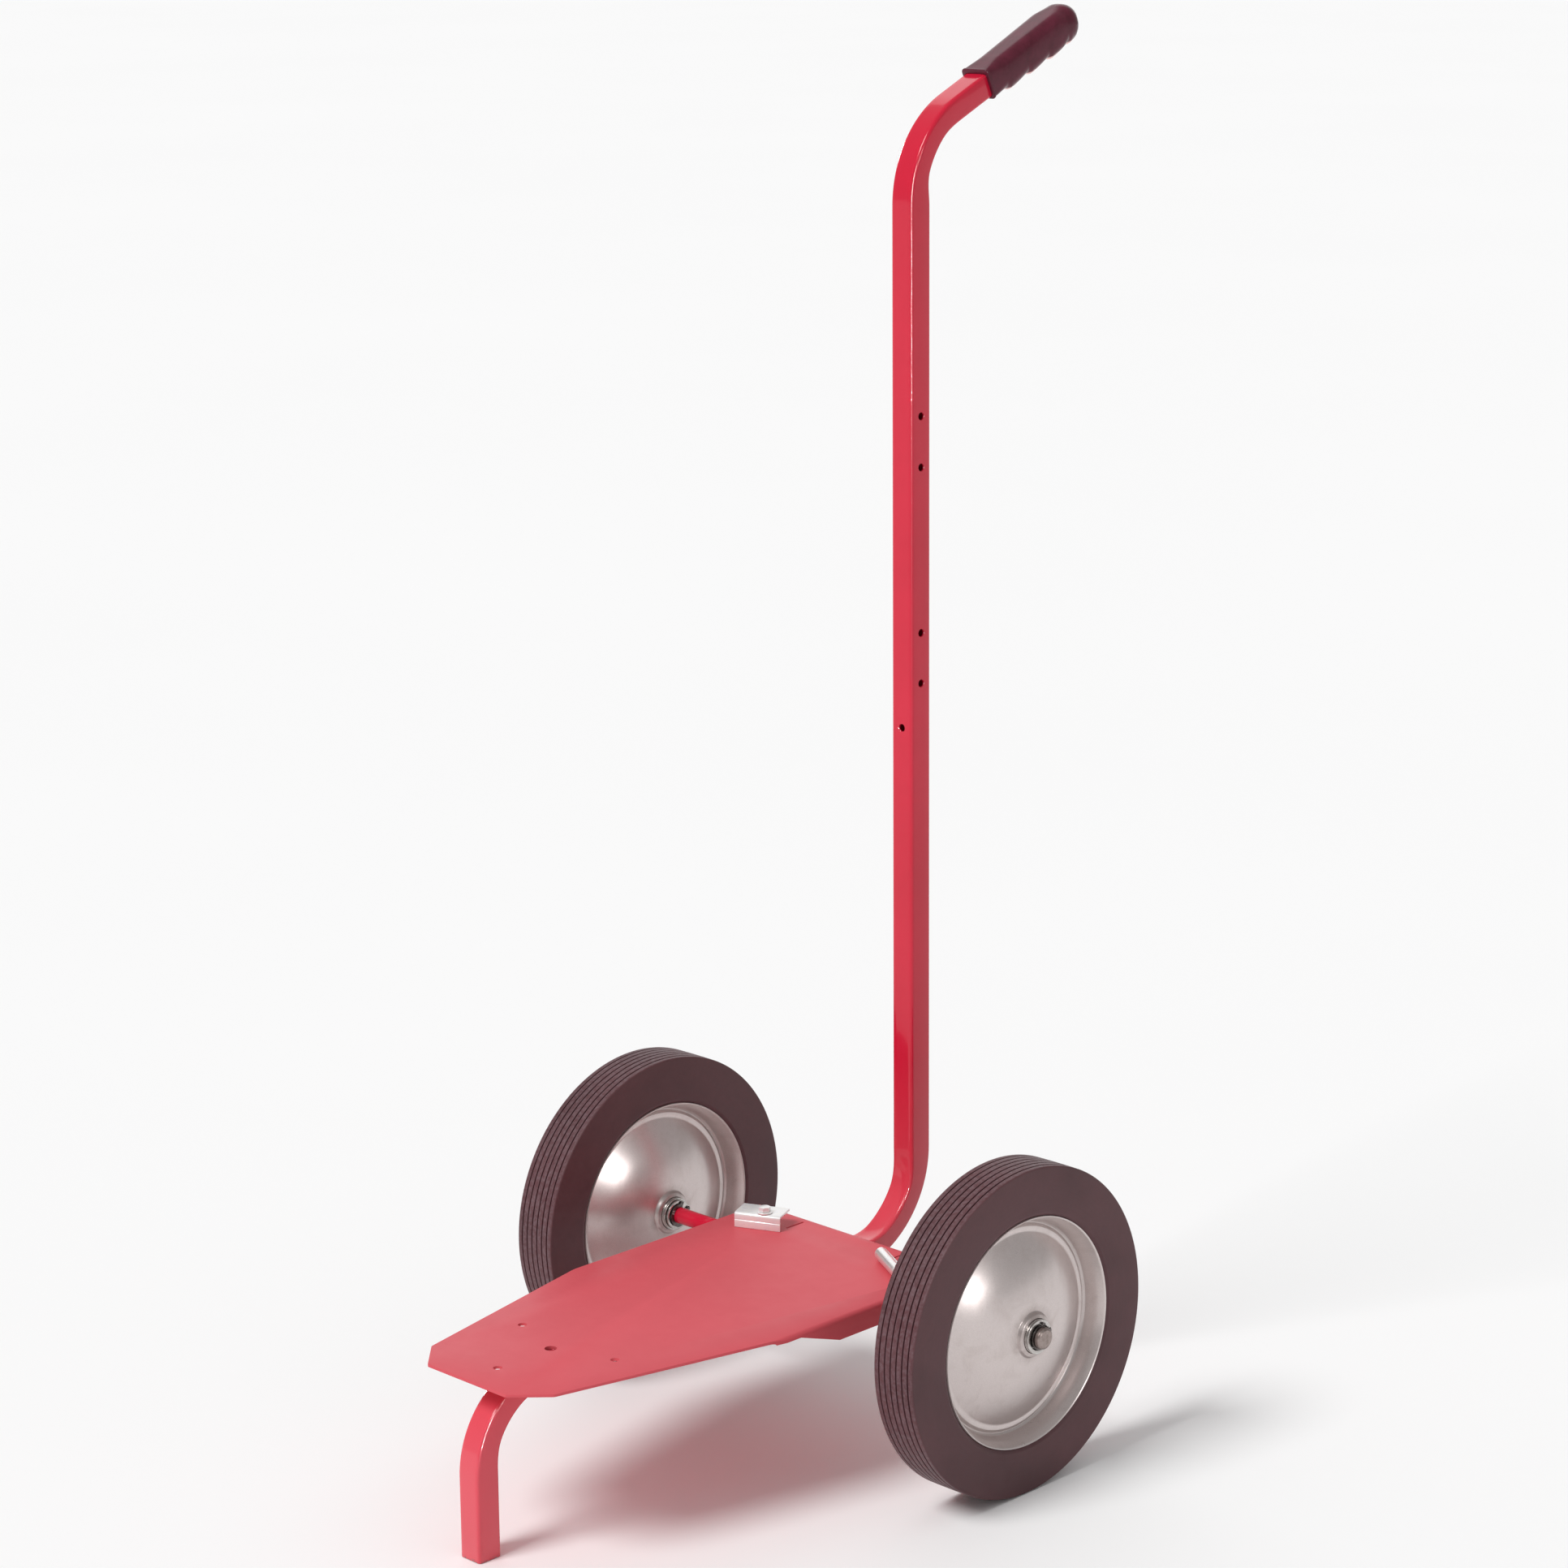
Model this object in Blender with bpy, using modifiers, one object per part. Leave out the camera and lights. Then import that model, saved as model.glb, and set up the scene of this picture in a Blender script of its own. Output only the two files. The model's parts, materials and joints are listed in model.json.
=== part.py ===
"""Single-tube hand truck: one bent square tube, a folded deck, an axle and two ball-bearing wheels.

Metres, +Z up. The foot of the tube points to -Y, the handle to +Y, and the wheels turn about X.
The origin is on the ground, below the middle of the whole truck's box.
"""
import math

import bmesh
import bpy
from mathutils import Matrix, Vector

MM = 0.001

# Driving dimensions
AXLE_Y = 50.83 * MM            # the axle's distance behind the origin
WHEEL_RADIUS = 152.4 * MM     # 12 in wheels
WHEEL_X = 232.05 * MM         # centre plane of each wheel
TYRE_WIDTH = 45.8 * MM
WHEEL_STEPS = 32              # facets around the tyre and the discs, so that they nest
TUBE = 25.4 * MM              # outside of the square tube
TUBE_WALL = 1.65 * MM
TUBE_CORNER = 3.0 * MM
AXLE_RADIUS = 7.94 * MM       # 5/8 in rod
DECK_TOP = 166.9 * MM
DECK_THICKNESS = 2.7 * MM
GAP = 0.3 * MM                # clearance between pieces that rest on each other

# The tube's centre line, in the plane x = 0
RUN_Z = 151.2 * MM            # under the deck
LEG_Y = AXLE_Y - 427.3 * MM
UPRIGHT_Y = AXLE_Y + 121.0 * MM
LEG_BEND = 77.3 * MM
LOWER_BEND = 87.3 * MM
UPPER_BEND = 92.3 * MM
UPPER_BEND_Z = 1123.0 * MM
HANDLE_TURN = math.radians(65.5)
GRIP_START = 40.0 * MM        # along the handle, from the end of the upper bend
GRIP_LENGTH = 138.6 * MM
TUBE_END = GRIP_START + GRIP_LENGTH - 13.6 * MM

# How far the inner wall of each bend is pressed in
LEG_COLLAPSE = 3.4 * MM
LOWER_COLLAPSE = 5.0 * MM
UPPER_COLLAPSE = 5.0 * MM
HANDLE_COLLAPSE = 2.8 * MM

# Hub, measured along the axle from the wheel's centre plane
OUTER_SEAT = 33.5 * MM        # outboard end of the hub sleeve
INNER_SEAT = 33.5 * MM        # inboard end
HUB_STEPS = 16                # facets around the axle and everything on it
SLEEVE_RADIUS = 15.9 * MM
SLEEVE_BORE = 14.2 * MM
BALLS = 8
BALL_RADIUS = 1.98 * MM
BALL_PITCH_RADIUS = 11.0 * MM
BALL_DEPTH = 4.0 * MM         # ball centres, inward from the seat

CLAMP_BOLT = (-79.6 * MM, AXLE_Y + 3.4 * MM)
CLAMP_ANGLE = math.radians(23.7)
CLAMP_HEIGHT = 15.0 * MM
BAR_BOLT = (112.0 * MM, AXLE_Y - 13.3 * MM)
BAR_ANGLE = math.radians(-28.9)
BAR_RADIUS = 6.3 * MM

RED = (0.62, 0.02, 0.045)
SILVER = (0.55, 0.53, 0.52)
ZINC = (0.75, 0.76, 0.78)
RUBBER = (0.045, 0.032, 0.033)
VINYL = (0.06, 0.015, 0.03)
DARK_STEEL = (0.12, 0.11, 0.11)


def clear_scene():
    for obj in list(bpy.data.objects):
        bpy.data.objects.remove(obj, do_unlink=True)


def make_collection(name):
    collection = bpy.data.collections.new(name)
    bpy.context.scene.collection.children.link(collection)
    return collection


def make_material(name, colour, roughness, metallic):
    material = bpy.data.materials.new(name)
    material.use_nodes = True
    shader = material.node_tree.nodes["Principled BSDF"]
    shader.inputs["Base Color"].default_value = (*colour, 1.0)
    shader.inputs["Roughness"].default_value = roughness
    shader.inputs["Metallic"].default_value = metallic
    return material


def add_object(name, mesh, material=None, matrix=None, smooth=True):
    """A part when it has a material, a cutter when it has none."""
    obj = bpy.data.objects.new(name, mesh)
    if material:
        mesh.materials.clear()
        mesh.materials.append(material)
        PARTS.objects.link(obj)
        if smooth:
            mesh.shade_smooth()
            mesh.set_sharp_from_angle(angle=math.radians(35))
    else:
        CUTTERS.objects.link(obj)
        obj.hide_render = True
        obj.display_type = "WIRE"
    if matrix:
        obj.matrix_world = matrix
    return obj


def mesh_from(bm, name):
    mesh = bpy.data.meshes.new(name)
    bm.to_mesh(mesh)
    bm.free()
    return mesh


def boolean(obj, tool, operation="DIFFERENCE"):
    modifier = obj.modifiers.new(tool.name, "BOOLEAN")
    modifier.operation = operation
    modifier.solver = "EXACT"
    modifier.object = tool


def prism(outline, axis, low, high):
    """A flat outline, given in the other two axes in order, pushed along the axis from low to high."""
    others = [k for k in range(3) if k != axis]
    bm = bmesh.new()
    verts = []
    for a, b in outline:
        point = Vector((0, 0, 0))
        point[axis] = low
        point[others[0]] = a
        point[others[1]] = b
        verts.append(bm.verts.new(point))
    face = bm.faces.new(verts)
    pushed = bmesh.ops.extrude_face_region(bm, geom=[face])
    shift = Vector((0, 0, 0))
    shift[axis] = high - low
    bmesh.ops.translate(bm, verts=[v for v in pushed["geom"] if isinstance(v, bmesh.types.BMVert)], vec=shift)
    bmesh.ops.recalc_face_normals(bm, faces=bm.faces)
    return bm


def add_cylinder(bm, centre, direction, radius, length, segments=20):
    turn = Vector((0, 0, 1)).rotation_difference(Vector(direction)).to_matrix().to_4x4()
    bmesh.ops.create_cone(bm, cap_ends=True, segments=segments, radius1=radius, radius2=radius,
                          depth=length, matrix=Matrix.Translation(centre) @ turn)


def turned(name, profile, steps, material, matrix=None, closed=True):
    """A profile of (radius, height) points, clockwise or from axis to axis, turned about local Z."""
    bm = bmesh.new()
    verts = [bm.verts.new((radius, 0, height)) for radius, height in profile]
    for first, second in zip(verts, verts[1:]):
        bm.edges.new((first, second))
    if closed:
        bm.edges.new((verts[-1], verts[0]))
    obj = add_object(name, mesh_from(bm, name), material, matrix, smooth=False)
    screw = obj.modifiers.new("turn", "SCREW")
    screw.axis = "Z"
    screw.steps = steps
    screw.render_steps = steps
    screw.use_merge_vertices = True
    screw.merge_threshold = 0.00001
    screw.use_smooth_shade = True
    return obj


def rounded_section(half_width, low, high, corner, segments):
    """Points (x, n) around a rectangle with rounded corners, anticlockwise."""
    corners = [(half_width - corner, high - corner, 0), (corner - half_width, high - corner, 90),
               (corner - half_width, low + corner, 180), (half_width - corner, low + corner, 270)]
    points = []
    for x, n, start in corners:
        for k in range(segments + 1):
            angle = math.radians(start + 90 * k / segments)
            points.append((x + corner * math.cos(angle), n + corner * math.sin(angle)))
    return points


def place_ring(bm, section, station):
    """A ring of vertices at a station (y, z, turn), where turn is the path's lean from +Z towards +Y."""
    y, z, turn = station
    normal = (-math.cos(turn), math.sin(turn))
    return [bm.verts.new((x, y + n * normal[0], z + n * normal[1])) for x, n in section]


def bridge(bm, first, second):
    count = len(first)
    for k in range(count):
        bm.faces.new((first[k], first[(k + 1) % count], second[(k + 1) % count], second[k]))


def ease(value):
    value = min(max(value, 0.0), 1.0)
    return value * value * (3 - 2 * value)


def handle_station(distance):
    """The station at a distance along the handle from the end of the upper bend."""
    centre_y = UPRIGHT_Y + UPPER_BEND
    y = centre_y - UPPER_BEND * math.cos(HANDLE_TURN) + distance * math.sin(HANDLE_TURN)
    z = UPPER_BEND_Z + UPPER_BEND * math.sin(HANDLE_TURN) + distance * math.cos(HANDLE_TURN)
    return y, z, HANDLE_TURN


def tube_stations():
    """Stations (y, z, turn) with the two walls' inward shift, from the foot to the handle's end.

    Seen from +X the path climbs the leg, turns back under the deck, climbs the upright and leans back.
    The first bend turns the other way from the next, so its inner wall is on the other side.
    """
    stations = [((LEG_Y, 0.0, 0.0), 0.0, 0.0)]
    steps = 8
    leg_centre = (LEG_Y + LEG_BEND, RUN_Z - LEG_BEND)
    for k in range(steps + 1):
        turn = math.radians(90) * k / steps
        press = LEG_COLLAPSE * ease(3 * min(k, steps - k) / steps)
        y = leg_centre[0] - LEG_BEND * math.cos(turn)
        z = leg_centre[1] + LEG_BEND * math.sin(turn)
        stations.append(((y, z, turn), press, 0.0))
    lower_centre = (UPRIGHT_Y - LOWER_BEND, RUN_Z + LOWER_BEND)
    for k in range(steps + 1):
        turn = math.radians(90) * (1 - k / steps)
        press = LOWER_COLLAPSE * ease(3 * min(k, steps - k) / steps)
        stations.append(((lower_centre[0] + LOWER_BEND * math.cos(turn), lower_centre[1] - LOWER_BEND
                          * math.sin(turn), turn), 0.0, press))
    upper_centre = (UPRIGHT_Y + UPPER_BEND, UPPER_BEND_Z)
    for k in range(steps + 1):
        turn = HANDLE_TURN * k / steps
        leaving = UPPER_COLLAPSE + (HANDLE_COLLAPSE - UPPER_COLLAPSE) * ease(3 * k / steps - 2)
        press = leaving * ease(3 * k / steps)
        stations.append(((upper_centre[0] - UPPER_BEND * math.cos(turn), upper_centre[1] + UPPER_BEND
                          * math.sin(turn), turn), press, 0.0))
    stations.append((handle_station(TUBE_END), HANDLE_COLLAPSE, 0.0))
    return stations


def frame_tube(material):
    """Leg, under-deck run, upright and handle: one bent square tube, open at both ends."""
    half = TUBE / 2
    bm = bmesh.new()
    skins = []
    for wall, corner in ((0.0, TUBE_CORNER), (TUBE_WALL, TUBE_CORNER - TUBE_WALL)):
        rings = []
        for station, low_press, high_press in tube_stations():
            low = low_press + wall - half
            high = half - wall - high_press
            section = rounded_section(half - wall, low, high, corner, 2)
            rings.append(place_ring(bm, section, station))
        skins.append(rings)
    outer, inner = skins
    for rings, flip in ((outer, False), (inner, True)):
        for first, second in zip(rings, rings[1:]):
            bridge(bm, second if flip else first, first if flip else second)
    bridge(bm, inner[0], outer[0])
    bridge(bm, outer[-1], inner[-1])
    bmesh.ops.recalc_face_normals(bm, faces=bm.faces)
    tube = add_object("frame_tube", mesh_from(bm, "frame_tube"), material)

    holes = bmesh.new()
    for z in (687.9, 735.1, 888.2, 934.9):
        add_cylinder(holes, (0, UPRIGHT_Y, z * MM), (1, 0, 0), 3.5 * MM, 2 * TUBE, 12)
    add_cylinder(holes, (0, UPRIGHT_Y, 646 * MM), (0, 1, 0), 3.5 * MM, 2 * TUBE, 12)
    add_cylinder(holes, (0, AXLE_Y - 341 * MM, RUN_Z), (0, 0, 1), 5.5 * MM, 2 * TUBE, 16)
    add_cylinder(holes, (0, AXLE_Y, WHEEL_RADIUS), (1, 0, 0), AXLE_RADIUS + GAP, 2 * TUBE, 24)
    boolean(tube, add_object("tube_holes", mesh_from(holes, "tube_holes")))


def deck_section():
    """The deck's folded cross-section, (x, z): flat top and two flanges turned down."""
    half_width = 132.7 * MM
    flange_bottom = 145.8 * MM
    fold = 4.5 * MM
    outer = []
    inner = []
    for side in (-1, 1):
        outer_side = [(side * half_width, flange_bottom)]
        inner_side = [(side * (half_width - DECK_THICKNESS), flange_bottom)]
        for k in range(5):
            angle = math.radians(90) * k / 4
            x = half_width - fold + fold * math.cos(angle)
            z = DECK_TOP - fold + fold * math.sin(angle)
            outer_side.append((side * x, z))
            thin = fold - DECK_THICKNESS
            inner_side.append((side * (half_width - fold + thin * math.cos(angle)),
                               DECK_TOP - fold + thin * math.sin(angle)))
        outer += outer_side if side < 0 else outer_side[::-1]
        inner += inner_side if side < 0 else inner_side[::-1]
    return outer + inner[::-1]


def deck_plan():
    """The deck's plan (x, y): a blunt nose widening to the folded sides."""
    nose_y = AXLE_Y - 438.7 * MM
    chamfer = 29.5 * MM
    nose_half_width = 79.9 * MM
    side_half_width = 140.0 * MM          # just outside the folds
    widening = 4.32                       # run per unit of half-width
    rear_y = AXLE_Y + 46.2 * MM
    wide_y = nose_y + chamfer + (side_half_width - nose_half_width) * widening
    right = [(nose_half_width - chamfer, nose_y), (nose_half_width, nose_y + chamfer),
             (side_half_width, wide_y), (side_half_width, rear_y)]
    return right + [(-x, y) for x, y in reversed(right)]


def deck_plate(material):
    bm = prism(deck_section(), 1, AXLE_Y - 450 * MM, AXLE_Y + 60 * MM)
    deck = add_object("deck_plate", mesh_from(bm, "deck_plate"), material)
    plan = add_object("deck_plan", mesh_from(prism(deck_plan(), 2, 0.1, 0.2), "deck_plan"))
    boolean(deck, plan, "INTERSECT")
    trims = bmesh.new()
    ramp = [(-210 * MM, 162.0 * MM), (-164 * MM, 162.0 * MM), (-64 * MM, 129 * MM), (-210 * MM, 129 * MM)]
    slot_top = WHEEL_RADIUS
    for side in (-1, 1):
        x_range = sorted((side * 122 * MM, side * 150 * MM))
        for outline in ([(AXLE_Y + y, z) for y, z in ramp],
                        [(AXLE_Y - AXLE_RADIUS - GAP, slot_top), (AXLE_Y - AXLE_RADIUS - GAP, 0.12),
                         (AXLE_Y + AXLE_RADIUS + GAP, 0.12), (AXLE_Y + AXLE_RADIUS + GAP, slot_top)]):
            piece = mesh_from(prism(outline, 0, *x_range), "trim")
            trims.from_mesh(piece)
        relief = [(side * 62.9 * MM, AXLE_Y + 17 * MM), (side * 65.1 * MM, AXLE_Y + 17 * MM),
                  (side * 65.1 * MM, AXLE_Y + 40 * MM), (side * 62.9 * MM, AXLE_Y + 40 * MM)]
        trims.from_mesh(mesh_from(prism(relief, 2, 0.155, 0.18), "relief"))
    boolean(deck, add_object("deck_trims", mesh_from(trims, "deck_trims")))
    holes = bmesh.new()
    add_cylinder(holes, (0, AXLE_Y, WHEEL_RADIUS), (1, 0, 0), AXLE_RADIUS + GAP, 0.3, 24)
    for x, y, radius in ((60, -320.5, 4.0), (-60, -320.5, 4.0), (0, -402.6, 4.0), (0, -341.0, 5.5)):
        add_cylinder(holes, (x * MM, AXLE_Y + y * MM, DECK_TOP), (0, 0, 1), radius * MM, 0.02, 16)
    for x, y in (CLAMP_BOLT, BAR_BOLT):
        add_cylinder(holes, (x, y, DECK_TOP), (0, 0, 1), 3.2 * MM, 0.02, 16)
    boolean(deck, add_object("deck_holes", mesh_from(holes, "deck_holes")))


def axle_profile():
    """Half of the rod's length in (radius, distance), with the grooves of both retaining rings."""
    groove_radius = 7.0 * MM
    grooves = [(WHEEL_X - 40.5 * MM, WHEEL_X - 38.7 * MM), (WHEEL_X + 36.1 * MM, WHEEL_X + 37.9 * MM)]
    end = WHEEL_X + 41.5 * MM
    points = []
    for near, far in grooves:
        points += [(AXLE_RADIUS, near), (groove_radius, near), (groove_radius, far), (AXLE_RADIUS, far)]
    return points + [(AXLE_RADIUS, end - 1 * MM), (AXLE_RADIUS - 1 * MM, end), (0.0, end)]


def along_axle(distance, side):
    """A frame on the axle whose +Z points outboard on the given side (+1 right, -1 left)."""
    return (Matrix.Translation((side * distance, AXLE_Y, WHEEL_RADIUS))
            @ Matrix.Rotation(side * math.radians(90), 4, "Y"))


def axle_rod(material):
    half = axle_profile()
    profile = half[::-1] + [(radius, -distance) for radius, distance in half]
    turned("axle_rod", profile, HUB_STEPS, material, along_axle(0.0, 1), closed=False)


def grip_low(distance):
    """The grip's underside below the handle's centre line: four finger ridges, steep on the near side."""
    base = 13.0 * MM
    ridge_height = 4.4 * MM
    depth = base
    for k in range(4):
        peak = (67.3 + 30.0 * k) * MM
        rise = (distance - peak + 7 * MM) / (7 * MM)
        fall = 1 - max(0.0, (distance - peak) / (26 * MM)) ** 1.6
        if 0 < rise <= 1:
            depth = max(depth, base + ridge_height * ease(rise))
        elif 0 < fall < 1:
            depth = max(depth, base + ridge_height * fall)
    return -depth


def grip_corner(distance):
    """The section's corner radius: small at the open end, broad along the body, full at the tip."""
    body = 3.6 * MM + 5.4 * MM * ease((distance - GRIP_START) / (26 * MM))
    full = ease((distance - GRIP_START - GRIP_LENGTH + 36 * MM) / (20 * MM))
    return body + (15.2 * MM - body) * full


def grip_swell(distance):
    """How much fuller than average the grip is: it widens from its open end towards its tip."""
    return (2.6 * ease(0.25 + 0.5 * (distance - GRIP_START) / GRIP_LENGTH) / ease(0.75) - 1.5) * MM


def handle_grip(material):
    """A moulded sleeve over the handle's end, with a blind bore and a domed tip."""
    half_width = 17.0 * MM
    top = 18.4 * MM
    dome = 17.5 * MM
    end = GRIP_START + GRIP_LENGTH
    bm = bmesh.new()
    outer = []
    distances = [GRIP_START + 3.9 * MM * k for k in range(32)]
    distances += [end - dome + dome * math.sin(math.radians(angle)) for angle in (15, 32, 48, 63, 75, 85)]
    for distance in distances:
        reach = (distance - (end - dome)) / dome
        size = math.sqrt(1 - reach * reach) if reach > 0 else 1.0
        swell = grip_swell(distance)
        low = grip_low(distance) - swell
        high = top + swell
        middle = (high + low) / 2
        section = rounded_section((half_width + swell) * size, middle + (low - middle) * size,
                                  middle + (high - middle) * size, grip_corner(distance) * size, 4)
        outer.append(place_ring(bm, section, handle_station(distance)))
    bore = rounded_section(TUBE / 2 + GAP, HANDLE_COLLAPSE - TUBE / 2 - GAP, TUBE / 2 + GAP,
                           TUBE_CORNER, 4)
    inner = [place_ring(bm, bore, handle_station(distance)) for distance in (GRIP_START, TUBE_END + GAP)]
    for first, second in zip(outer, outer[1:]):
        bridge(bm, first, second)
    bm.faces.new(outer[-1])
    bridge(bm, inner[0], outer[0])
    bridge(bm, inner[1], inner[0])
    bm.faces.new(inner[1][::-1])
    bmesh.ops.recalc_face_normals(bm, faces=bm.faces)
    add_object("handle_grip", mesh_from(bm, "handle_grip"), material)


def tyre_profile():
    half = TYRE_WIDTH / 2
    shoulder = 1.6 * MM
    right = [(WHEEL_RADIUS, half - shoulder), (WHEEL_RADIUS - 0.3 * shoulder, half - 0.3 * shoulder),
             (WHEEL_RADIUS - shoulder, half), (107.4 * MM, half), (103.6 * MM, 0.6 * half),
             (100.7 * MM, 3.5 * MM)]
    return [(radius, z) for radius, z in right[::-1]] + [(radius, -z) for radius, z in right]


def disc_profile():
    """One pressed wheel half: rim flange, seam valley, ridge, dome and the collar around the hub."""
    face = [(105.2, 21.8), (101.6, 14.0), (98.6, 3.8), (96.2, 1.6), (93.0, 5.2), (87.0, 4.4), (79.0, 9.6),
            (66.0, 16.2), (48.0, 22.6), (30.0, 26.2), (20.6, 27.4), (19.2, 30.6), (16.3, 31.4)]
    sheet = 1.3
    seam_back = (96.2, 0.25)              # the two halves meet here
    back = []
    for k in (0, 1, 2, 4, 5, 6, 8):
        radius, z = face[k]
        before = face[max(k - 1, 0)]
        after = face[k + 1]
        length = math.hypot(after[0] - before[0], after[1] - before[1])
        back.append((radius - sheet * (after[1] - before[1]) / length,
                     z + sheet * (after[0] - before[0]) / length))
    back.insert(3, seam_back)
    back += [(19.4, 26.0), (17.9, 29.2), (16.3, 30.1)]
    return [(radius * MM, z * MM) for radius, z in back + face[::-1]]


def race_profiles():
    """Flanged outer race and inner race, heights measured outward from the hub's seat."""
    outer = [(15.9, 2.0), (15.9, 0.3), (13.9, 0.3), (13.9, -8.2), (12.2, -8.2), (12.2, -5.7), (13.2, -4.8),
             (13.2, -3.2), (12.2, -2.3), (12.2, 2.0)]
    inner = [(10.0, 2.3), (10.0, -1.8), (8.8, -2.8), (8.8, -5.2), (10.0, -6.2), (10.0, -8.4), (8.1, -8.4),
             (8.1, 2.3)]
    return [[(radius * MM, z * MM) for radius, z in profile] for profile in (outer, inner)]


def ball_cage(name, material, matrix):
    """A thin cage ring that holds the balls, as one body."""
    ring = [(11.5 * MM, 2.3 * MM), (11.5 * MM, -2.3 * MM), (10.5 * MM, -2.3 * MM), (10.5 * MM, 2.3 * MM)]
    shift = matrix @ Matrix.Translation((0, 0, -BALL_DEPTH))
    cage = turned(name, ring, 16, material, shift)
    balls = bmesh.new()
    for k in range(BALLS):
        angle = 2 * math.pi * (k + 0.5) / BALLS
        across = BALL_PITCH_RADIUS * math.cos(angle)
        up = BALL_PITCH_RADIUS * math.sin(angle)
        centre = Matrix.Translation((across, up, 0))
        bmesh.ops.create_uvsphere(balls, u_segments=6, v_segments=4, radius=BALL_RADIUS, matrix=centre)
    boolean(cage, add_object(name + "_balls", mesh_from(balls, name + "_balls"), matrix=shift), "UNION")


def washer(name, radius, bore, thickness, material, matrix):
    profile = [(radius, thickness), (radius, 0.0), (bore, 0.0), (bore, thickness)]
    return turned(name, profile, HUB_STEPS, material, matrix)


def retaining_ring(name, side, outboard, material):
    """An open spring ring with two short ears beside its gap, seated in a groove of the axle."""
    half_gap = 22
    ear_span = 16
    thickness = 1.2 * MM
    middle = math.radians(45)             # the gap faces up and back
    outline = []
    inner = []
    for k in range(25):
        degrees = half_gap + (360 - 2 * half_gap) * k / 24
        from_end = min(degrees - half_gap, 360 - half_gap - degrees)
        angle = middle + math.radians(degrees)
        radius = (13.6 if from_end < ear_span else 12.0) * MM
        outline.append((radius * math.cos(angle), radius * math.sin(angle)))
        inner.append((7.4 * MM * math.cos(angle), 7.4 * MM * math.sin(angle)))
    groove = WHEEL_X + (36.4 * MM if outboard else -40.2 * MM)
    low, high = sorted((side * groove, side * (groove + thickness)))
    shifted = [(AXLE_Y + y, WHEEL_RADIUS + z) for y, z in outline + inner[::-1]]
    add_object(name, mesh_from(prism(shifted, 0, low, high), name), material)


def axle_cap(name, side, material):
    """A pressed cap over the end of the axle."""
    low = 37.9 * MM
    high = 43.3 * MM
    profile = [(0.0, high), (8.6 * MM, high), (10.0 * MM, high - 1.4 * MM), (10.0 * MM, low),
               (8.3 * MM, low), (8.3 * MM, high - 1.4 * MM), (0.0, high - 1.4 * MM)]
    turned(name, profile, HUB_STEPS, material, along_axle(WHEEL_X, side), closed=False)


def wheel(label, side, materials):
    """Tyre, two pressed halves, hub sleeve and two ball bearings."""
    centre = along_axle(WHEEL_X, side)
    reverse = along_axle(WHEEL_X, -side)
    reverse.translation.x = side * WHEEL_X
    turned(label + "_tyre", tyre_profile(), WHEEL_STEPS, materials["tyre"], centre)
    turned(label + "_outer_disc", disc_profile(), WHEEL_STEPS, materials["disc"], centre)
    turned(label + "_inner_disc", disc_profile(), WHEEL_STEPS, materials["disc"], reverse)
    sleeve = [(SLEEVE_RADIUS, OUTER_SEAT), (SLEEVE_RADIUS, -INNER_SEAT), (SLEEVE_BORE, -INNER_SEAT),
              (SLEEVE_BORE, OUTER_SEAT)]
    turned(label + "_hub_sleeve", sleeve, HUB_STEPS, materials["steel"], centre)
    outer_race, inner_race = race_profiles()
    for place, seat, frame in (("outer", OUTER_SEAT, centre), ("inner", INNER_SEAT, reverse)):
        seated = frame @ Matrix.Translation((0, 0, seat))
        turned(f"{label}_{place}_bearing_race", outer_race, HUB_STEPS, materials["steel"], seated)
        turned(f"{label}_{place}_bearing_cone", inner_race, HUB_STEPS, materials["steel"], seated)
        ball_cage(f"{label}_{place}_ball_cage", materials["steel"], seated)
    inboard_washer = reverse @ Matrix.Translation((0, 0, INNER_SEAT + 2.7 * MM))
    washer(label + "_inner_washer", 14.3 * MM, 8.3 * MM, 2.2 * MM, materials["steel"], inboard_washer)
    retaining_ring(label + "_inner_retaining_ring", side, False, materials["dark_steel"])
    retaining_ring(label + "_outer_retaining_ring", side, True, materials["dark_steel"])
    axle_cap(label + "_axle_cap", side, materials["dark_steel"])


def hex_bolt(name, place, under_head, material):
    """A bolt threaded into the deck, its head above the piece it holds."""
    x, y = place
    head_height = 4.4 * MM
    tip = DECK_TOP - 5.6 * MM
    shank = turned(name, [(0.0, under_head + head_height / 2), (2.9 * MM, under_head + head_height / 2),
                          (2.9 * MM, tip + 0.8 * MM), (2.1 * MM, tip), (0.0, tip)], 16, material,
                   Matrix.Translation((x, y, 0)), closed=False)
    bm = bmesh.new()
    bmesh.ops.create_cone(bm, cap_ends=True, segments=6, radius1=5.8 * MM, radius2=5.8 * MM,
                          depth=head_height, matrix=Matrix.Translation((0, 0, under_head + head_height / 2)))
    head = add_object(name + "_head", mesh_from(bm, name + "_head"), matrix=Matrix.Translation((x, y, 0)))
    boolean(shank, head, "UNION")


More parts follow.
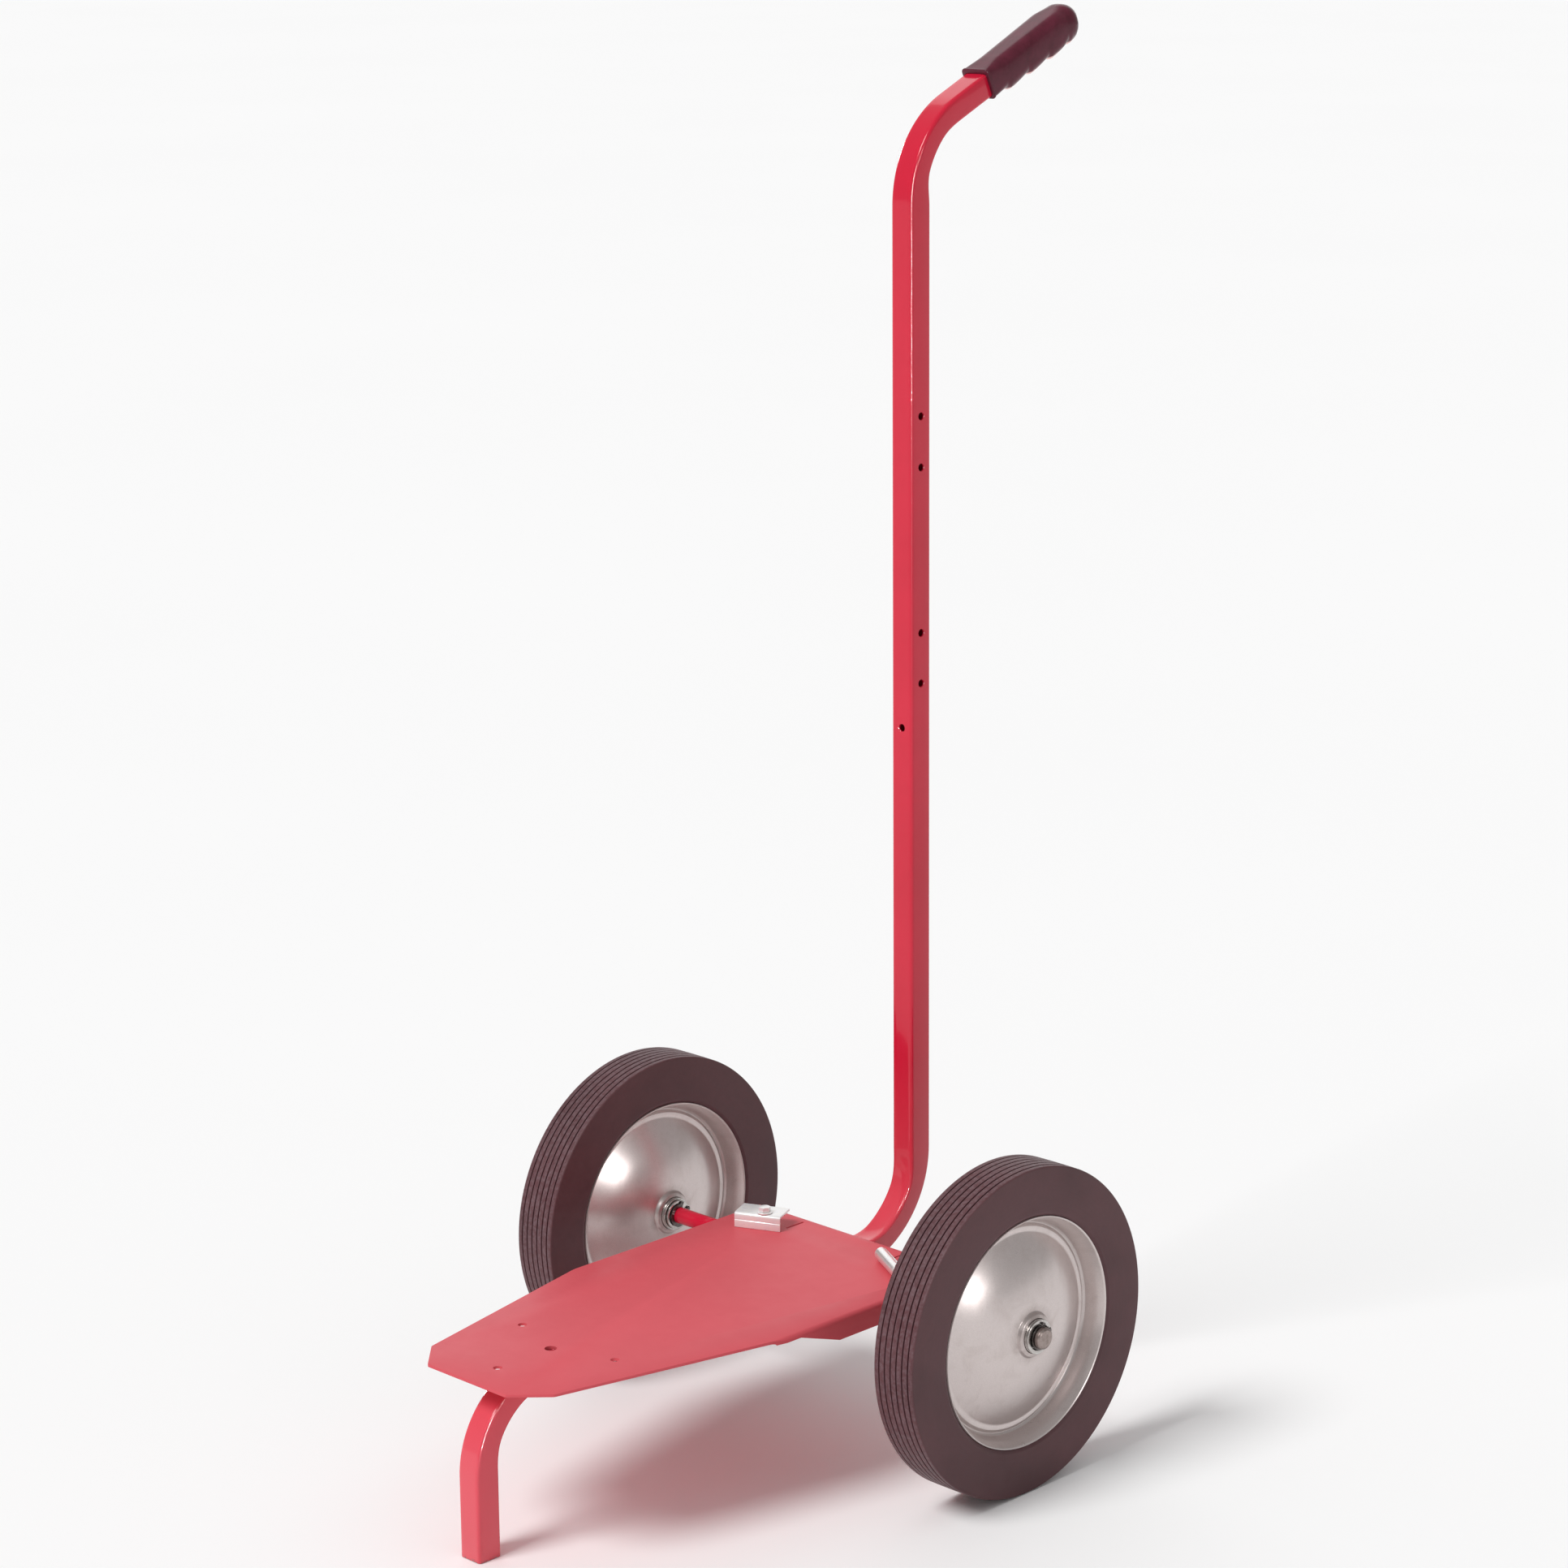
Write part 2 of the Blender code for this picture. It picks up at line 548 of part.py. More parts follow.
def stop_clamp(material):
    """A bent strap whose lip stands on the deck, held by one bolt that it can swing about."""
    length = 46.0 * MM
    depth = 26.0 * MM
    sheet = 2.2 * MM
    fold = 3.0 * MM
    lip_face = -7.2 * MM                  # the lip's face, in front of the bolt
    foot = DECK_TOP + GAP
    top = DECK_TOP + CLAMP_HEIGHT
    outline = [(lip_face, foot)]
    for k in range(5):
        angle = math.radians(180 - 90 * k / 4)
        outline.append((lip_face + fold + fold * math.cos(angle), top - fold + fold * math.sin(angle)))
    outline += [(lip_face + depth, top), (lip_face + depth, top - sheet)]
    thin = fold - sheet
    for k in range(5):
        angle = math.radians(90 + 90 * k / 4)
        outline.append((lip_face + fold + thin * math.cos(angle), top - fold + thin * math.sin(angle)))
    outline.append((lip_face + sheet, foot))
    mid = (foot + top) / 2
    bm = prism(outline, 0, -length / 2, length / 2)
    along = 5.0 * MM                      # the strap's middle, to the left of the bolt
    bmesh.ops.translate(bm, verts=bm.verts, vec=(-along, 0, 0))
    place = Matrix.Translation((*CLAMP_BOLT, 0)) @ Matrix.Rotation(CLAMP_ANGLE, 4, "Z")
    clamp = add_object("stop_clamp", mesh_from(bm, "stop_clamp"), material, place)
    cuts = bmesh.new()
    add_cylinder(cuts, (0, 0, top), (0, 0, 1), 3.3 * MM, 0.02, 16)
    groove = prism([(lip_face - 1 * MM, mid - 0.4 * MM), (lip_face + 0.5 * MM, mid - 0.4 * MM),
                    (lip_face + 0.5 * MM, mid + 0.4 * MM), (lip_face - 1 * MM, mid + 0.4 * MM)],
                   0, -length, length)
    cuts.from_mesh(mesh_from(groove, "groove"))
    boolean(clamp, add_object("clamp_cuts", mesh_from(cuts, "clamp_cuts"), matrix=place))
    seat = DECK_TOP + CLAMP_HEIGHT + GAP
    washer("clamp_washer", 7.6 * MM, 3.2 * MM, 1.2 * MM, material, Matrix.Translation((*CLAMP_BOLT, seat)))
    hex_bolt("clamp_bolt", CLAMP_BOLT, seat + 1.5 * MM, material)


def hold_down_bar(material):
    """A round bar lying on the deck, held by one bolt near its outboard end."""
    inboard = 60.0 * MM
    outboard = 11.0 * MM
    bm = bmesh.new()
    height = DECK_TOP + GAP + BAR_RADIUS
    add_cylinder(bm, ((outboard - inboard) / 2, 0, height), (1, 0, 0), BAR_RADIUS, inboard + outboard, 24)
    place = Matrix.Translation((*BAR_BOLT, 0)) @ Matrix.Rotation(BAR_ANGLE, 4, "Z")
    bar = add_object("hold_down_bar", mesh_from(bm, "hold_down_bar"), material, place)
    flat = height + 5.2 * MM              # a spot face under the bolt's head
    for label, radius, low in (("bar_hole", 3.3 * MM, height - 10 * MM), ("bar_spot_face", 8.0 * MM, flat)):
        cut = bmesh.new()
        add_cylinder(cut, (0, 0, low + 10 * MM), (0, 0, 1), radius, 20 * MM, 20)
        boolean(bar, add_object(label, mesh_from(cut, label), matrix=place))
    washer("bar_washer", 7.0 * MM, 3.2 * MM, 1.2 * MM, material, Matrix.Translation((*BAR_BOLT, flat + GAP)))
    hex_bolt("bar_bolt", BAR_BOLT, flat + GAP + 1.5 * MM, material)


clear_scene()
PARTS = make_collection("hand_truck")
CUTTERS = make_collection("cutters")

paint = make_material("red_paint", RED, 0.3, 0.0)
zinc = make_material("zinc", ZINC, 0.3, 1.0)
wheel_materials = {
    "tyre": make_material("tyre_rubber", RUBBER, 0.7, 0.0),
    "disc": make_material("silver_paint", SILVER, 0.4, 0.6),
    "steel": make_material("bearing_steel", SILVER, 0.3, 1.0),
    "dark_steel": make_material("dark_steel", DARK_STEEL, 0.4, 1.0),
}

frame_tube(paint)
deck_plate(paint)
axle_rod(paint)
handle_grip(make_material("vinyl", VINYL, 0.35, 0.0))
stop_clamp(zinc)
hold_down_bar(zinc)
wheel("left", -1, wheel_materials)
wheel("right", 1, wheel_materials)
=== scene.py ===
"""Looks for the single-tube hand truck: fine meshes, finishes, floor, light and camera.

Metres in the CAD's own frame: +Z up, the foot towards -Y, the wheels turning about X.
"""
import json
import math

import bmesh
import bpy
from mathutils import Matrix, Vector

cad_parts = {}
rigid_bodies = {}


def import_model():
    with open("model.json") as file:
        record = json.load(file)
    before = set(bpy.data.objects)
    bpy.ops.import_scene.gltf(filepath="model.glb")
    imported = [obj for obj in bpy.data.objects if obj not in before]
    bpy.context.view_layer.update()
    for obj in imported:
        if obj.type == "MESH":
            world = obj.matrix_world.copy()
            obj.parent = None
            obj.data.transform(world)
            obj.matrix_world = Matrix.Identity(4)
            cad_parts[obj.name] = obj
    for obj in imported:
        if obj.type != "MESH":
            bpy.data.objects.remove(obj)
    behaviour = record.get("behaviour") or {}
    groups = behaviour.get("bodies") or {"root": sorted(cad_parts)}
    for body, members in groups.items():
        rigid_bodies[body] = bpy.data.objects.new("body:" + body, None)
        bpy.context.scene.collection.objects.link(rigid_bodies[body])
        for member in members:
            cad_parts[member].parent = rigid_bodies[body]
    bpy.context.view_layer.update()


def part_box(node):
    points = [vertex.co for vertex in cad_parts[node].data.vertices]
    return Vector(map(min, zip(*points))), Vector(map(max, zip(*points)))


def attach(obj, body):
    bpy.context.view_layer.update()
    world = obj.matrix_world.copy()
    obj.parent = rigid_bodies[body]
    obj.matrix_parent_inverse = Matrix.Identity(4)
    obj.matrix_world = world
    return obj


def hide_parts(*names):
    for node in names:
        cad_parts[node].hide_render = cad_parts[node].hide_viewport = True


MM = 0.001

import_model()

deck_low, deck_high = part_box("deck_plate")
tube_low, tube_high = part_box("frame_tube")
axle_low, axle_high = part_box("axle_rod")
tyre_low, tyre_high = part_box("right_tyre")
washer_low, washer_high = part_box("clamp_washer")
bar_washer_low, bar_washer_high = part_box("bar_washer")

AXLE_Y = (axle_low.y + axle_high.y) / 2
AXLE_RADIUS = (axle_high.z - axle_low.z) / 2
WHEEL_X = (tyre_low.x + tyre_high.x) / 2
WHEEL_RADIUS = (tyre_high.z - tyre_low.z) / 2
TYRE_WIDTH = tyre_high.x - tyre_low.x
GAP = 0.3 * MM

# The square tube and its centre line, in the plane x = 0
TUBE = tube_high.x - tube_low.x
TUBE_WALL = 1.65 * MM
TUBE_CORNER = 3.0 * MM
DECK_TOP = deck_high.z
DECK_THICKNESS = 2.7 * MM
RUN_Z = DECK_TOP - DECK_THICKNESS - GAP - TUBE / 2
LEG_Y = tube_low.y + TUBE / 2
UPRIGHT_Y = AXLE_Y + 121.0 * MM
LEG_BEND = 77.3 * MM
LOWER_BEND = 87.3 * MM
UPPER_BEND = 92.3 * MM
UPPER_BEND_Z = 1123.0 * MM
HANDLE_TURN = math.radians(65.5)
GRIP_START = 40.0 * MM
GRIP_LENGTH = 138.6 * MM
TUBE_END = GRIP_START + GRIP_LENGTH - 13.6 * MM
LEG_COLLAPSE = 3.4 * MM
LOWER_COLLAPSE = 5.0 * MM
UPPER_COLLAPSE = 5.0 * MM
HANDLE_COLLAPSE = 2.8 * MM
DISH = 0.22                   # a bend's pressed wall sinks further in its middle, as a share of the press
BEND_STEPS = 30
CROSS_HOLES = [687.9 * MM, 735.1 * MM, 888.2 * MM, 934.9 * MM]
FRONT_HOLE = 646.0 * MM

# The direction square to the handle's top face, and the height of its centre line along that direction
HANDLE_NORMAL = (0.0, -math.cos(HANDLE_TURN), math.sin(HANDLE_TURN))
HANDLE_LEVEL = (UPPER_BEND_Z * HANDLE_NORMAL[2]
                + (UPRIGHT_Y + UPPER_BEND) * HANDLE_NORMAL[1] + UPPER_BEND)

# The hub's bearing seats, measured along the axle from the wheel's centre plane
OUTER_SEAT = 33.5 * MM
INNER_SEAT = 33.5 * MM
BALL_DEPTH = 4.0 * MM

CLAMP_BOLT = ((washer_low.x + washer_high.x) / 2, (washer_low.y + washer_high.y) / 2)
CLAMP_ANGLE = math.radians(23.7)
BAR_BOLT = ((bar_washer_low.x + bar_washer_high.x) / 2, (bar_washer_low.y + bar_washer_high.y) / 2)
BAR_ANGLE = math.radians(-28.9)

TYRE_STEPS = 176
DISC_STEPS = 160
HUB_STEPS = 64
FILLET_STEP = math.radians(12)


# ---------------------------------------------------------------- meshes

def mesh_from(bm, name):
    """A mesh with outward faces, made from a bmesh that it uses up."""
    bmesh.ops.recalc_face_normals(bm, faces=bm.faces)
    mesh = bpy.data.meshes.new(name)
    bm.to_mesh(mesh)
    bm.free()
    return mesh


def fillet(corners, closed=False):
    """Corners (a, b, radius) as plain points (a, b), with each corner rounded by its radius."""
    points = []
    count = len(corners)
    for k, (a, b, radius) in enumerate(corners):
        here = Vector((a, b))
        if radius <= 0 or (not closed and k in (0, count - 1)):
            points.append((a, b))
            continue
        before = Vector(corners[k - 1][:2]) - here
        after = Vector(corners[(k + 1) % count][:2]) - here
        turn = math.pi - before.angle(after)
        reach = min(radius * math.tan(turn / 2), 0.48 * before.length, 0.48 * after.length)
        radius = reach / math.tan(turn / 2)
        inward = (before.normalized() + after.normalized()).normalized()
        centre = here + inward * math.hypot(reach, radius)
        arm = here + before.normalized() * reach - centre
        last = here + after.normalized() * reach - centre
        sign = 1 if arm.x * last.y - arm.y * last.x > 0 else -1
        steps = max(2, math.ceil(turn / FILLET_STEP))
        for j in range(steps + 1):
            angle = sign * turn * j / steps
            points.append((centre.x + arm.x * math.cos(angle) - arm.y * math.sin(angle),
                           centre.y + arm.x * math.sin(angle) + arm.y * math.cos(angle)))
    return points


def lathe(profile, steps, closed=True):
    """A profile of (radius, height) points in millimetres, turned about local Z."""
    verts = []
    rings = []
    for radius, height in profile:
        if radius < 0.001:
            rings.append([len(verts)] * steps)
            verts.append((0.0, 0.0, height * MM))
            continue
        rings.append(list(range(len(verts), len(verts) + steps)))
        for k in range(steps):
            angle = 2 * math.pi * k / steps
            verts.append((radius * MM * math.cos(angle), radius * MM * math.sin(angle), height * MM))
    faces = []
    following = rings[1:] + rings[:1] if closed else rings[1:]
    for first, second in zip(rings, following):
        for k in range(steps):
            corners = (first[k], first[(k + 1) % steps], second[(k + 1) % steps], second[k])
            face = list(dict.fromkeys(corners))
            if len(face) > 2:
                faces.append(face)
    mesh = bpy.data.meshes.new("lathe")
    mesh.from_pydata(verts, [], faces)
    bm = bmesh.new()
    bm.from_mesh(mesh)
    bpy.data.meshes.remove(mesh)
    return bm


def loft(rings, ends=True):
    """A skin over rings of points, closed with a face at each end."""
    bm = bmesh.new()
    made = [[bm.verts.new(point) for point in ring] for ring in rings]
    for first, second in zip(made, made[1:]):
        for k in range(len(first)):
            n = (k + 1) % len(first)
            bm.faces.new((first[k], first[n], second[n], second[k]))
    if ends:
        bm.faces.new(made[0])
        bm.faces.new(made[-1])
    return bm


def prism(outline, axis, low, high):
    """A flat outline, given in the other two axes in order, pushed along the axis from low to high."""
    others = [k for k in range(3) if k != axis]
    rings = []
    for level in (low, high):
        ring = []
        for a, b in outline:
            point = [0.0, 0.0, 0.0]
            point[axis] = level
            point[others[0]] = a
            point[others[1]] = b
            ring.append(point)
        rings.append(ring)
    return loft(rings)


def rectangle(a_low, a_high, b_low, b_high):
    return [(a_low, b_low), (a_high, b_low), (a_high, b_high), (a_low, b_high)]


def drill(centre, direction, radius, reach, chamfer=0.35 * MM, steps=40):
    """A cutter for a through hole whose edges, at reach on both sides of the centre, are broken."""
    over = 1.0 * MM
    wide = (radius + chamfer + over) / MM
    ends = (reach + over) / MM
    half = [(radius / MM, (reach - chamfer) / MM), (wide, ends), (0.0, ends)]
    bm = lathe([(r, -z) for r, z in half[::-1]] + half, steps, closed=False)
    turn = Vector((0, 0, 1)).rotation_difference(Vector(direction)).to_matrix().to_4x4()
    bmesh.ops.transform(bm, matrix=Matrix.Translation(centre) @ turn, verts=bm.verts)
    return bm


def joined(parts):
    """One bmesh made of several, which it uses up."""
    whole = bmesh.new()
    for part in parts:
        mesh = mesh_from(part, "part")
        whole.from_mesh(mesh)
        bpy.data.meshes.remove(mesh)
    return whole


def baked(obj):
    """Replaces the object's mesh by what its modifiers make of it."""
    graph = bpy.context.evaluated_depsgraph_get()
    graph.update()
    mesh = bpy.data.meshes.new_from_object(obj.evaluated_get(graph))
    old = obj.data
    obj.modifiers.clear()
    obj.data = mesh
    bpy.data.meshes.remove(old)


def cut(obj, cutter, operation="DIFFERENCE"):
    """Cuts the object by a bmesh, or joins or crosses it with one."""
    tool = bpy.data.objects.new("cutter", mesh_from(cutter, "cutter"))
    bpy.context.scene.collection.objects.link(tool)
    modifier = obj.modifiers.new("cut", "BOOLEAN")
    modifier.operation = operation
    modifier.solver = "EXACT"
    modifier.object = tool
    baked(obj)
    bpy.data.objects.remove(tool, do_unlink=True)


def break_edges(obj, width, angle=40):
    """Rounds the object's edges that are sharper than the angle."""
    modifier = obj.modifiers.new("edges", "BEVEL")
    modifier.width = width
    modifier.segments = 2
    modifier.limit_method = "ANGLE"
    modifier.angle_limit = math.radians(angle)
    modifier.harden_normals = False
    baked(obj)


def new_piece(name, bm, matrix=None):
    """An object in the scene, made from a bmesh that it uses up."""
    obj = bpy.data.objects.new(name, mesh_from(bm, name))
    bpy.context.scene.collection.objects.link(obj)
    if matrix:
        obj.matrix_world = matrix
    return obj


def dress(obj, material, slot, body, *nodes, angle=32):
    """Shades and paints a finished piece, hangs it on its body and hides the nodes it stands for; the slot
    is not used.
    """
    obj.data.materials.clear()
    obj.data.materials.append(material)
    obj.data.shade_smooth()
    obj.data.set_sharp_from_angle(angle=math.radians(angle))
    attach(obj, body)
    if nodes:
        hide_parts(*nodes)


# ---------------------------------------------------------------- finishes

class Finish:
    """One material's node tree, built with short calls, in the piece's own coordinates."""

    def __init__(self, name, **sockets):
        self.material = bpy.data.materials.new(name)
        self.material.use_nodes = True
        self.tree = self.material.node_tree
        self.shader = self.tree.nodes["Principled BSDF"]
        for socket, value in sockets.items():
            self.shader.inputs[socket.replace("_", " ")].default_value = value
        self.place = self.add("ShaderNodeTexCoord").outputs["Object"]

    def add(self, kind, inputs=(), **settings):
        node = self.tree.nodes.new(kind)
        for name, value in settings.items():
            setattr(node, name, value)
        for socket, value in dict(inputs).items():
            if isinstance(value, bpy.types.NodeSocket):
                self.tree.links.new(value, node.inputs[socket])
            else:
                node.inputs[socket].default_value = value
        return node

    def noise(self, size, detail=2.0, rough=0.5, place=None, distortion=0.0):
        """Soft noise from 0 to 1 with features about that size."""
        return self.add("ShaderNodeTexNoise", {"Vector": place or self.place, "Scale": 1 / size,
                                               "Detail": detail, "Roughness": rough,
                                               "Distortion": distortion}).outputs["Fac"]

    def cells(self, size):
        """Distance to the nearest of scattered points, in cells of about that size."""
        return self.add("ShaderNodeTexVoronoi", {"Vector": self.place,
                                                 "Scale": 1 / size}).outputs["Distance"]

    def stretched(self, x, y, z):
        """The piece's coordinates scaled along each axis."""
        return self.add("ShaderNodeVectorMath", {0: self.place, 1: (x, y, z)},
                        operation="MULTIPLY").outputs["Vector"]

    def radius(self):
        """Distance from the piece's local Z axis."""
        flat = self.stretched(1, 1, 0)
        return self.add("ShaderNodeVectorMath", {0: flat}, operation="LENGTH").outputs["Value"]

    def rings(self, size):
        """Fine concentric variation, from the distance to the local Z axis and the height along it."""
        depth = self.add("ShaderNodeSeparateXYZ", {0: self.place}).outputs["Z"]
        place = self.add("ShaderNodeCombineXYZ", {0: self.radius(), 1: depth}).outputs[0]
        return self.noise(size, detail=3, rough=0.6, place=place)

    def height(self):
        """Distance along the piece's local Z axis."""
        return self.add("ShaderNodeSeparateXYZ", {0: self.place}).outputs["Z"]

    def span(self, value, low, high, to_low=0.0, to_high=1.0):
        """Value from low to high, as to_low to to_high, clamped."""
        limits = {"Value": value, "From Min": low, "From Max": high, "To Min": to_low, "To Max": to_high}
        return self.add("ShaderNodeMapRange", limits).outputs["Result"]

    def times(self, first, second):
        return self.add("ShaderNodeMath", {0: first, 1: second}, operation="MULTIPLY").outputs[0]

    def plus(self, first, second):
        return self.add("ShaderNodeMath", {0: first, 1: second}, operation="ADD").outputs[0]

    def mix(self, share, first, second):
        """A colour between two others."""
        node = self.add("ShaderNodeMix", data_type="RGBA")
        for index, value in ((0, share), (6, first), (7, second)):
            if isinstance(value, bpy.types.NodeSocket):
                self.tree.links.new(value, node.inputs[index])
            else:
                node.inputs[index].default_value = value if index == 0 else (*value, 1.0)
        return node.outputs[2]

    def surface(self, colour, roughness, bumps):
        """Links the colour and roughness, and stacks bumps given as (height, depth in metres)."""
        self.tree.links.new(colour, self.shader.inputs["Base Color"])
        self.tree.links.new(roughness, self.shader.inputs["Roughness"])
        normal = None
        for height, depth in bumps:
            inputs = {"Height": height, "Distance": depth, "Strength": 1.0}
            if normal:
                inputs["Normal"] = normal
            normal = self.add("ShaderNodeBump", inputs).outputs["Normal"]
        self.tree.links.new(normal, self.shader.inputs["Normal"])
        return self.material


def red_enamel(name, peel=0.003 * MM, smooth=0.16, dull=0.24, coat=0.8, pale=0.0, scuffed=0.0):
    """Stoved red enamel with faint orange peel: paler by a share as a painted sheen, paler towards the
    floor as a painted floor bounce, and scuffed near the floor.
    """
    finish = Finish(name, IOR=1.25, Coat_Weight=coat, Coat_Roughness=0.06, Coat_IOR=1.4)
    drift = finish.noise(130 * MM, detail=3)
    cloud = finish.noise(22 * MM, detail=4, rough=0.6)
    grain = finish.noise(1.4 * MM, detail=2)
    colour = finish.mix(finish.span(drift, 0.3, 0.7), (0.61, 0.007, 0.034), (0.68, 0.011, 0.044))
    colour = finish.mix(finish.span(cloud, 0.42, 0.75, 0.0, 0.18), colour, (0.52, 0.006, 0.028))
    roughness = finish.span(finish.plus(cloud, finish.times(grain, 0.3)), 0.4, 0.9, smooth, dull)
    # Painted sheen: by a share the whole surface is made paler, as a face lit from above looks
    if pale:
        colour = finish.mix(pale, colour, (0.74, 0.20, 0.215))
    if scuffed:
        # Painted floor bounce: the paint turns paler towards the floor, from 330 mm down to 90 mm
        painted_floor_bounce = finish.span(finish.height(), 330 * MM, 90 * MM, 0.0, 0.36)
        colour = finish.mix(painted_floor_bounce, colour, (0.92, 0.20, 0.23))
        low = finish.span(finish.height(), scuffed, 0.0)
        patches = finish.span(finish.noise(3 * MM, detail=5, rough=0.7), 0.5, 0.62)
        scuff = finish.times(low, patches)
        colour = finish.mix(scuff, colour, (0.16, 0.10, 0.09))
        roughness = finish.plus(roughness, finish.times(scuff, 0.3))
    return finish.surface(colour, roughness, [(grain, peel), (finish.noise(5 * MM), 3 * peel)])


def silver_paint():
    """Aluminium paint on pressed steel: fine flake, faint brown smudges, grime around the hub, and painted
    shade in the crease inside the flange.
    """
    finish = Finish("silver_paint", Metallic=0.78, IOR=1.5)
    flake = finish.noise(0.55 * MM, detail=1)
    smudge = finish.noise(19 * MM, detail=5, rough=0.62, distortion=0.6)
    radius = finish.radius()
    colour = finish.mix(finish.span(flake, 0.3, 0.7), (0.60, 0.53, 0.515), (0.70, 0.625, 0.61))
    colour = finish.mix(finish.span(smudge, 0.5, 0.85, 0.0, 0.42), colour, (0.44, 0.36, 0.335))
    near_hub = finish.span(radius, 30 * MM, 20 * MM, 0.0, 0.5)
    grime = finish.times(near_hub, finish.span(smudge, 0.3, 0.6))
    colour = finish.mix(grime, colour, (0.26, 0.20, 0.18))
    # Painted shade: a darker band in the crease between the flange and the ridge, darkest about 96 mm out
    beyond = finish.span(radius, 91 * MM, 96 * MM)
    painted_crease_shade = finish.times(beyond, finish.span(radius, 100 * MM, 97 * MM))
    colour = finish.mix(finish.times(painted_crease_shade, 0.3), colour, (0.30, 0.26, 0.25))
    roughness = finish.span(finish.plus(smudge, finish.times(flake, 0.35)), 0.4, 1.0, 0.27, 0.35)
    spun = finish.rings(2.2 * MM)
    return finish.surface(colour, roughness, [(flake, 0.006 * MM), (spun, 0.015 * MM)])


def tyre_rubber():
    """Brown-black moulded rubber: mottled, with concentric mould marks, and dust with a painted highlight
    on the rib crests.
    """
    finish = Finish("tyre_rubber", IOR=1.42)
    mottle = finish.noise(11 * MM, detail=5, rough=0.65)
    grain = finish.noise(0.9 * MM, detail=3, rough=0.6)
    rings = finish.rings(1.3 * MM)
    radius = finish.radius()
    blotch = finish.noise(85 * MM, detail=3, rough=0.55)
    colour = finish.mix(finish.span(mottle, 0.3, 0.75), (0.092, 0.031, 0.037), (0.116, 0.044, 0.050))
    colour = finish.mix(finish.span(blotch, 0.45, 0.75, 0.0, 0.6), colour, (0.055, 0.018, 0.022))
    # Dust and a painted highlight: the rib crests are made paler in patches, in their outer 0.7 mm
    crest = finish.span(radius, WHEEL_RADIUS - 0.7 * MM, WHEEL_RADIUS - 0.1 * MM)
    painted_highlight = finish.times(crest, finish.span(finish.noise(4 * MM, detail=5, rough=0.7), 0.42, 0.68))
    colour = finish.mix(finish.times(painted_highlight, 0.6), colour, (0.19, 0.125, 0.14))
    roughness = finish.span(finish.plus(mottle, finish.times(rings, 0.4)), 0.4, 1.0, 0.42, 0.60)
    return finish.surface(colour, roughness, [(grain, 0.03 * MM), (rings, 0.03 * MM)])


def grip_vinyl():
    """Dark maroon dipped vinyl: glossy, finely pebbled, with a pale painted highlight on the finger
    ridges.
    """
    finish = Finish("grip_vinyl", IOR=1.33)
    drift = finish.noise(14 * MM, detail=4, rough=0.6)
    pebble = finish.cells(1.1 * MM)
    colour = finish.mix(finish.span(drift, 0.3, 0.75), (0.085, 0.010, 0.022), (0.135, 0.018, 0.038))
    below = finish.add("ShaderNodeVectorMath", {0: finish.place, 1: HANDLE_NORMAL},
                       operation="DOT_PRODUCT").outputs["Value"]
    # Painted highlight: the finger ridges below the handle turn pale from their foot to their crest
    ridge_foot = HANDLE_LEVEL - 13.0 * MM
    ridge_crest = HANDLE_LEVEL - 14.3 * MM
    painted_highlight = finish.span(below, ridge_foot, ridge_crest, 0.0, 0.95)
    colour = finish.mix(finish.times(painted_highlight, finish.span(drift, 0.2, 0.5)), colour, (0.93, 0.58, 0.56))
    roughness = finish.span(finish.plus(drift, finish.times(pebble, 0.4)), 0.4, 1.1, 0.15, 0.26)
    dents = finish.noise(6 * MM)
    return finish.surface(colour, roughness, [(pebble, 0.02 * MM), (dents, 0.06 * MM)])


def zinc_plate(name, metal, *stretch):
    """Bright zinc with faint blue and straw passivation and drawn streaks along the piece."""
    finish = Finish(name, Metallic=metal, IOR=1.5)
    tint = finish.noise(7 * MM, detail=3)
    streak = finish.noise(1 * MM, detail=3, place=finish.stretched(*stretch))
    colour = finish.mix(finish.span(tint, 0.35, 0.65), (0.90, 0.905, 0.92), (0.94, 0.93, 0.90))
    colour = finish.mix(finish.span(streak, 0.5, 0.8, 0.0, 0.16), colour, (0.52, 0.52, 0.53))
    roughness = finish.span(finish.plus(streak, finish.times(tint, 0.3)), 0.4, 0.95, 0.26, 0.38)
    return finish.surface(colour, roughness, [(streak, 0.004 * MM)])


def turned_steel(name, pale, dark, rough_low, rough_high):
    """Turned steel: fine concentric tool marks and stains."""
    finish = Finish(name, Metallic=1.0)
    marks = finish.rings(0.5 * MM)
    stain = finish.noise(4 * MM, detail=5, rough=0.65)
    colour = finish.mix(finish.span(stain, 0.4, 0.72), pale, dark)
    roughness = finish.span(finish.plus(marks, finish.times(stain, 0.5)), 0.5, 1.1, rough_low, rough_high)
    return finish.surface(colour, roughness, [(marks, 0.01 * MM)])


RED = red_enamel("red_enamel")
TUBE_RED = red_enamel("red_enamel_on_tube", scuffed=3 * MM)
# The deck's copy of the enamel is made paler by a painted sheen from the light above
DECK_RED = red_enamel("red_enamel_on_deck", smooth=0.42, dull=0.50, coat=0.0, pale=0.46)
WELD_RED = red_enamel("red_enamel_on_weld", peel=0.04 * MM)
SILVER = silver_paint()
RUBBER = tyre_rubber()
VINYL = grip_vinyl()
ZINC = zinc_plate("zinc_plate", 0.3, 0.1, 1.2, 1.2)
ROD_ZINC = zinc_plate("zinc_plate_on_rod", 0.75, 1.2, 1.2, 0.1)
STEEL = turned_steel("bearing_steel", (0.62, 0.60, 0.58), (0.38, 0.35, 0.33), 0.18, 0.34)
CAP_STEEL = turned_steel("cap_steel", (0.36, 0.295, 0.275), (0.22, 0.175, 0.16), 0.28, 0.44)
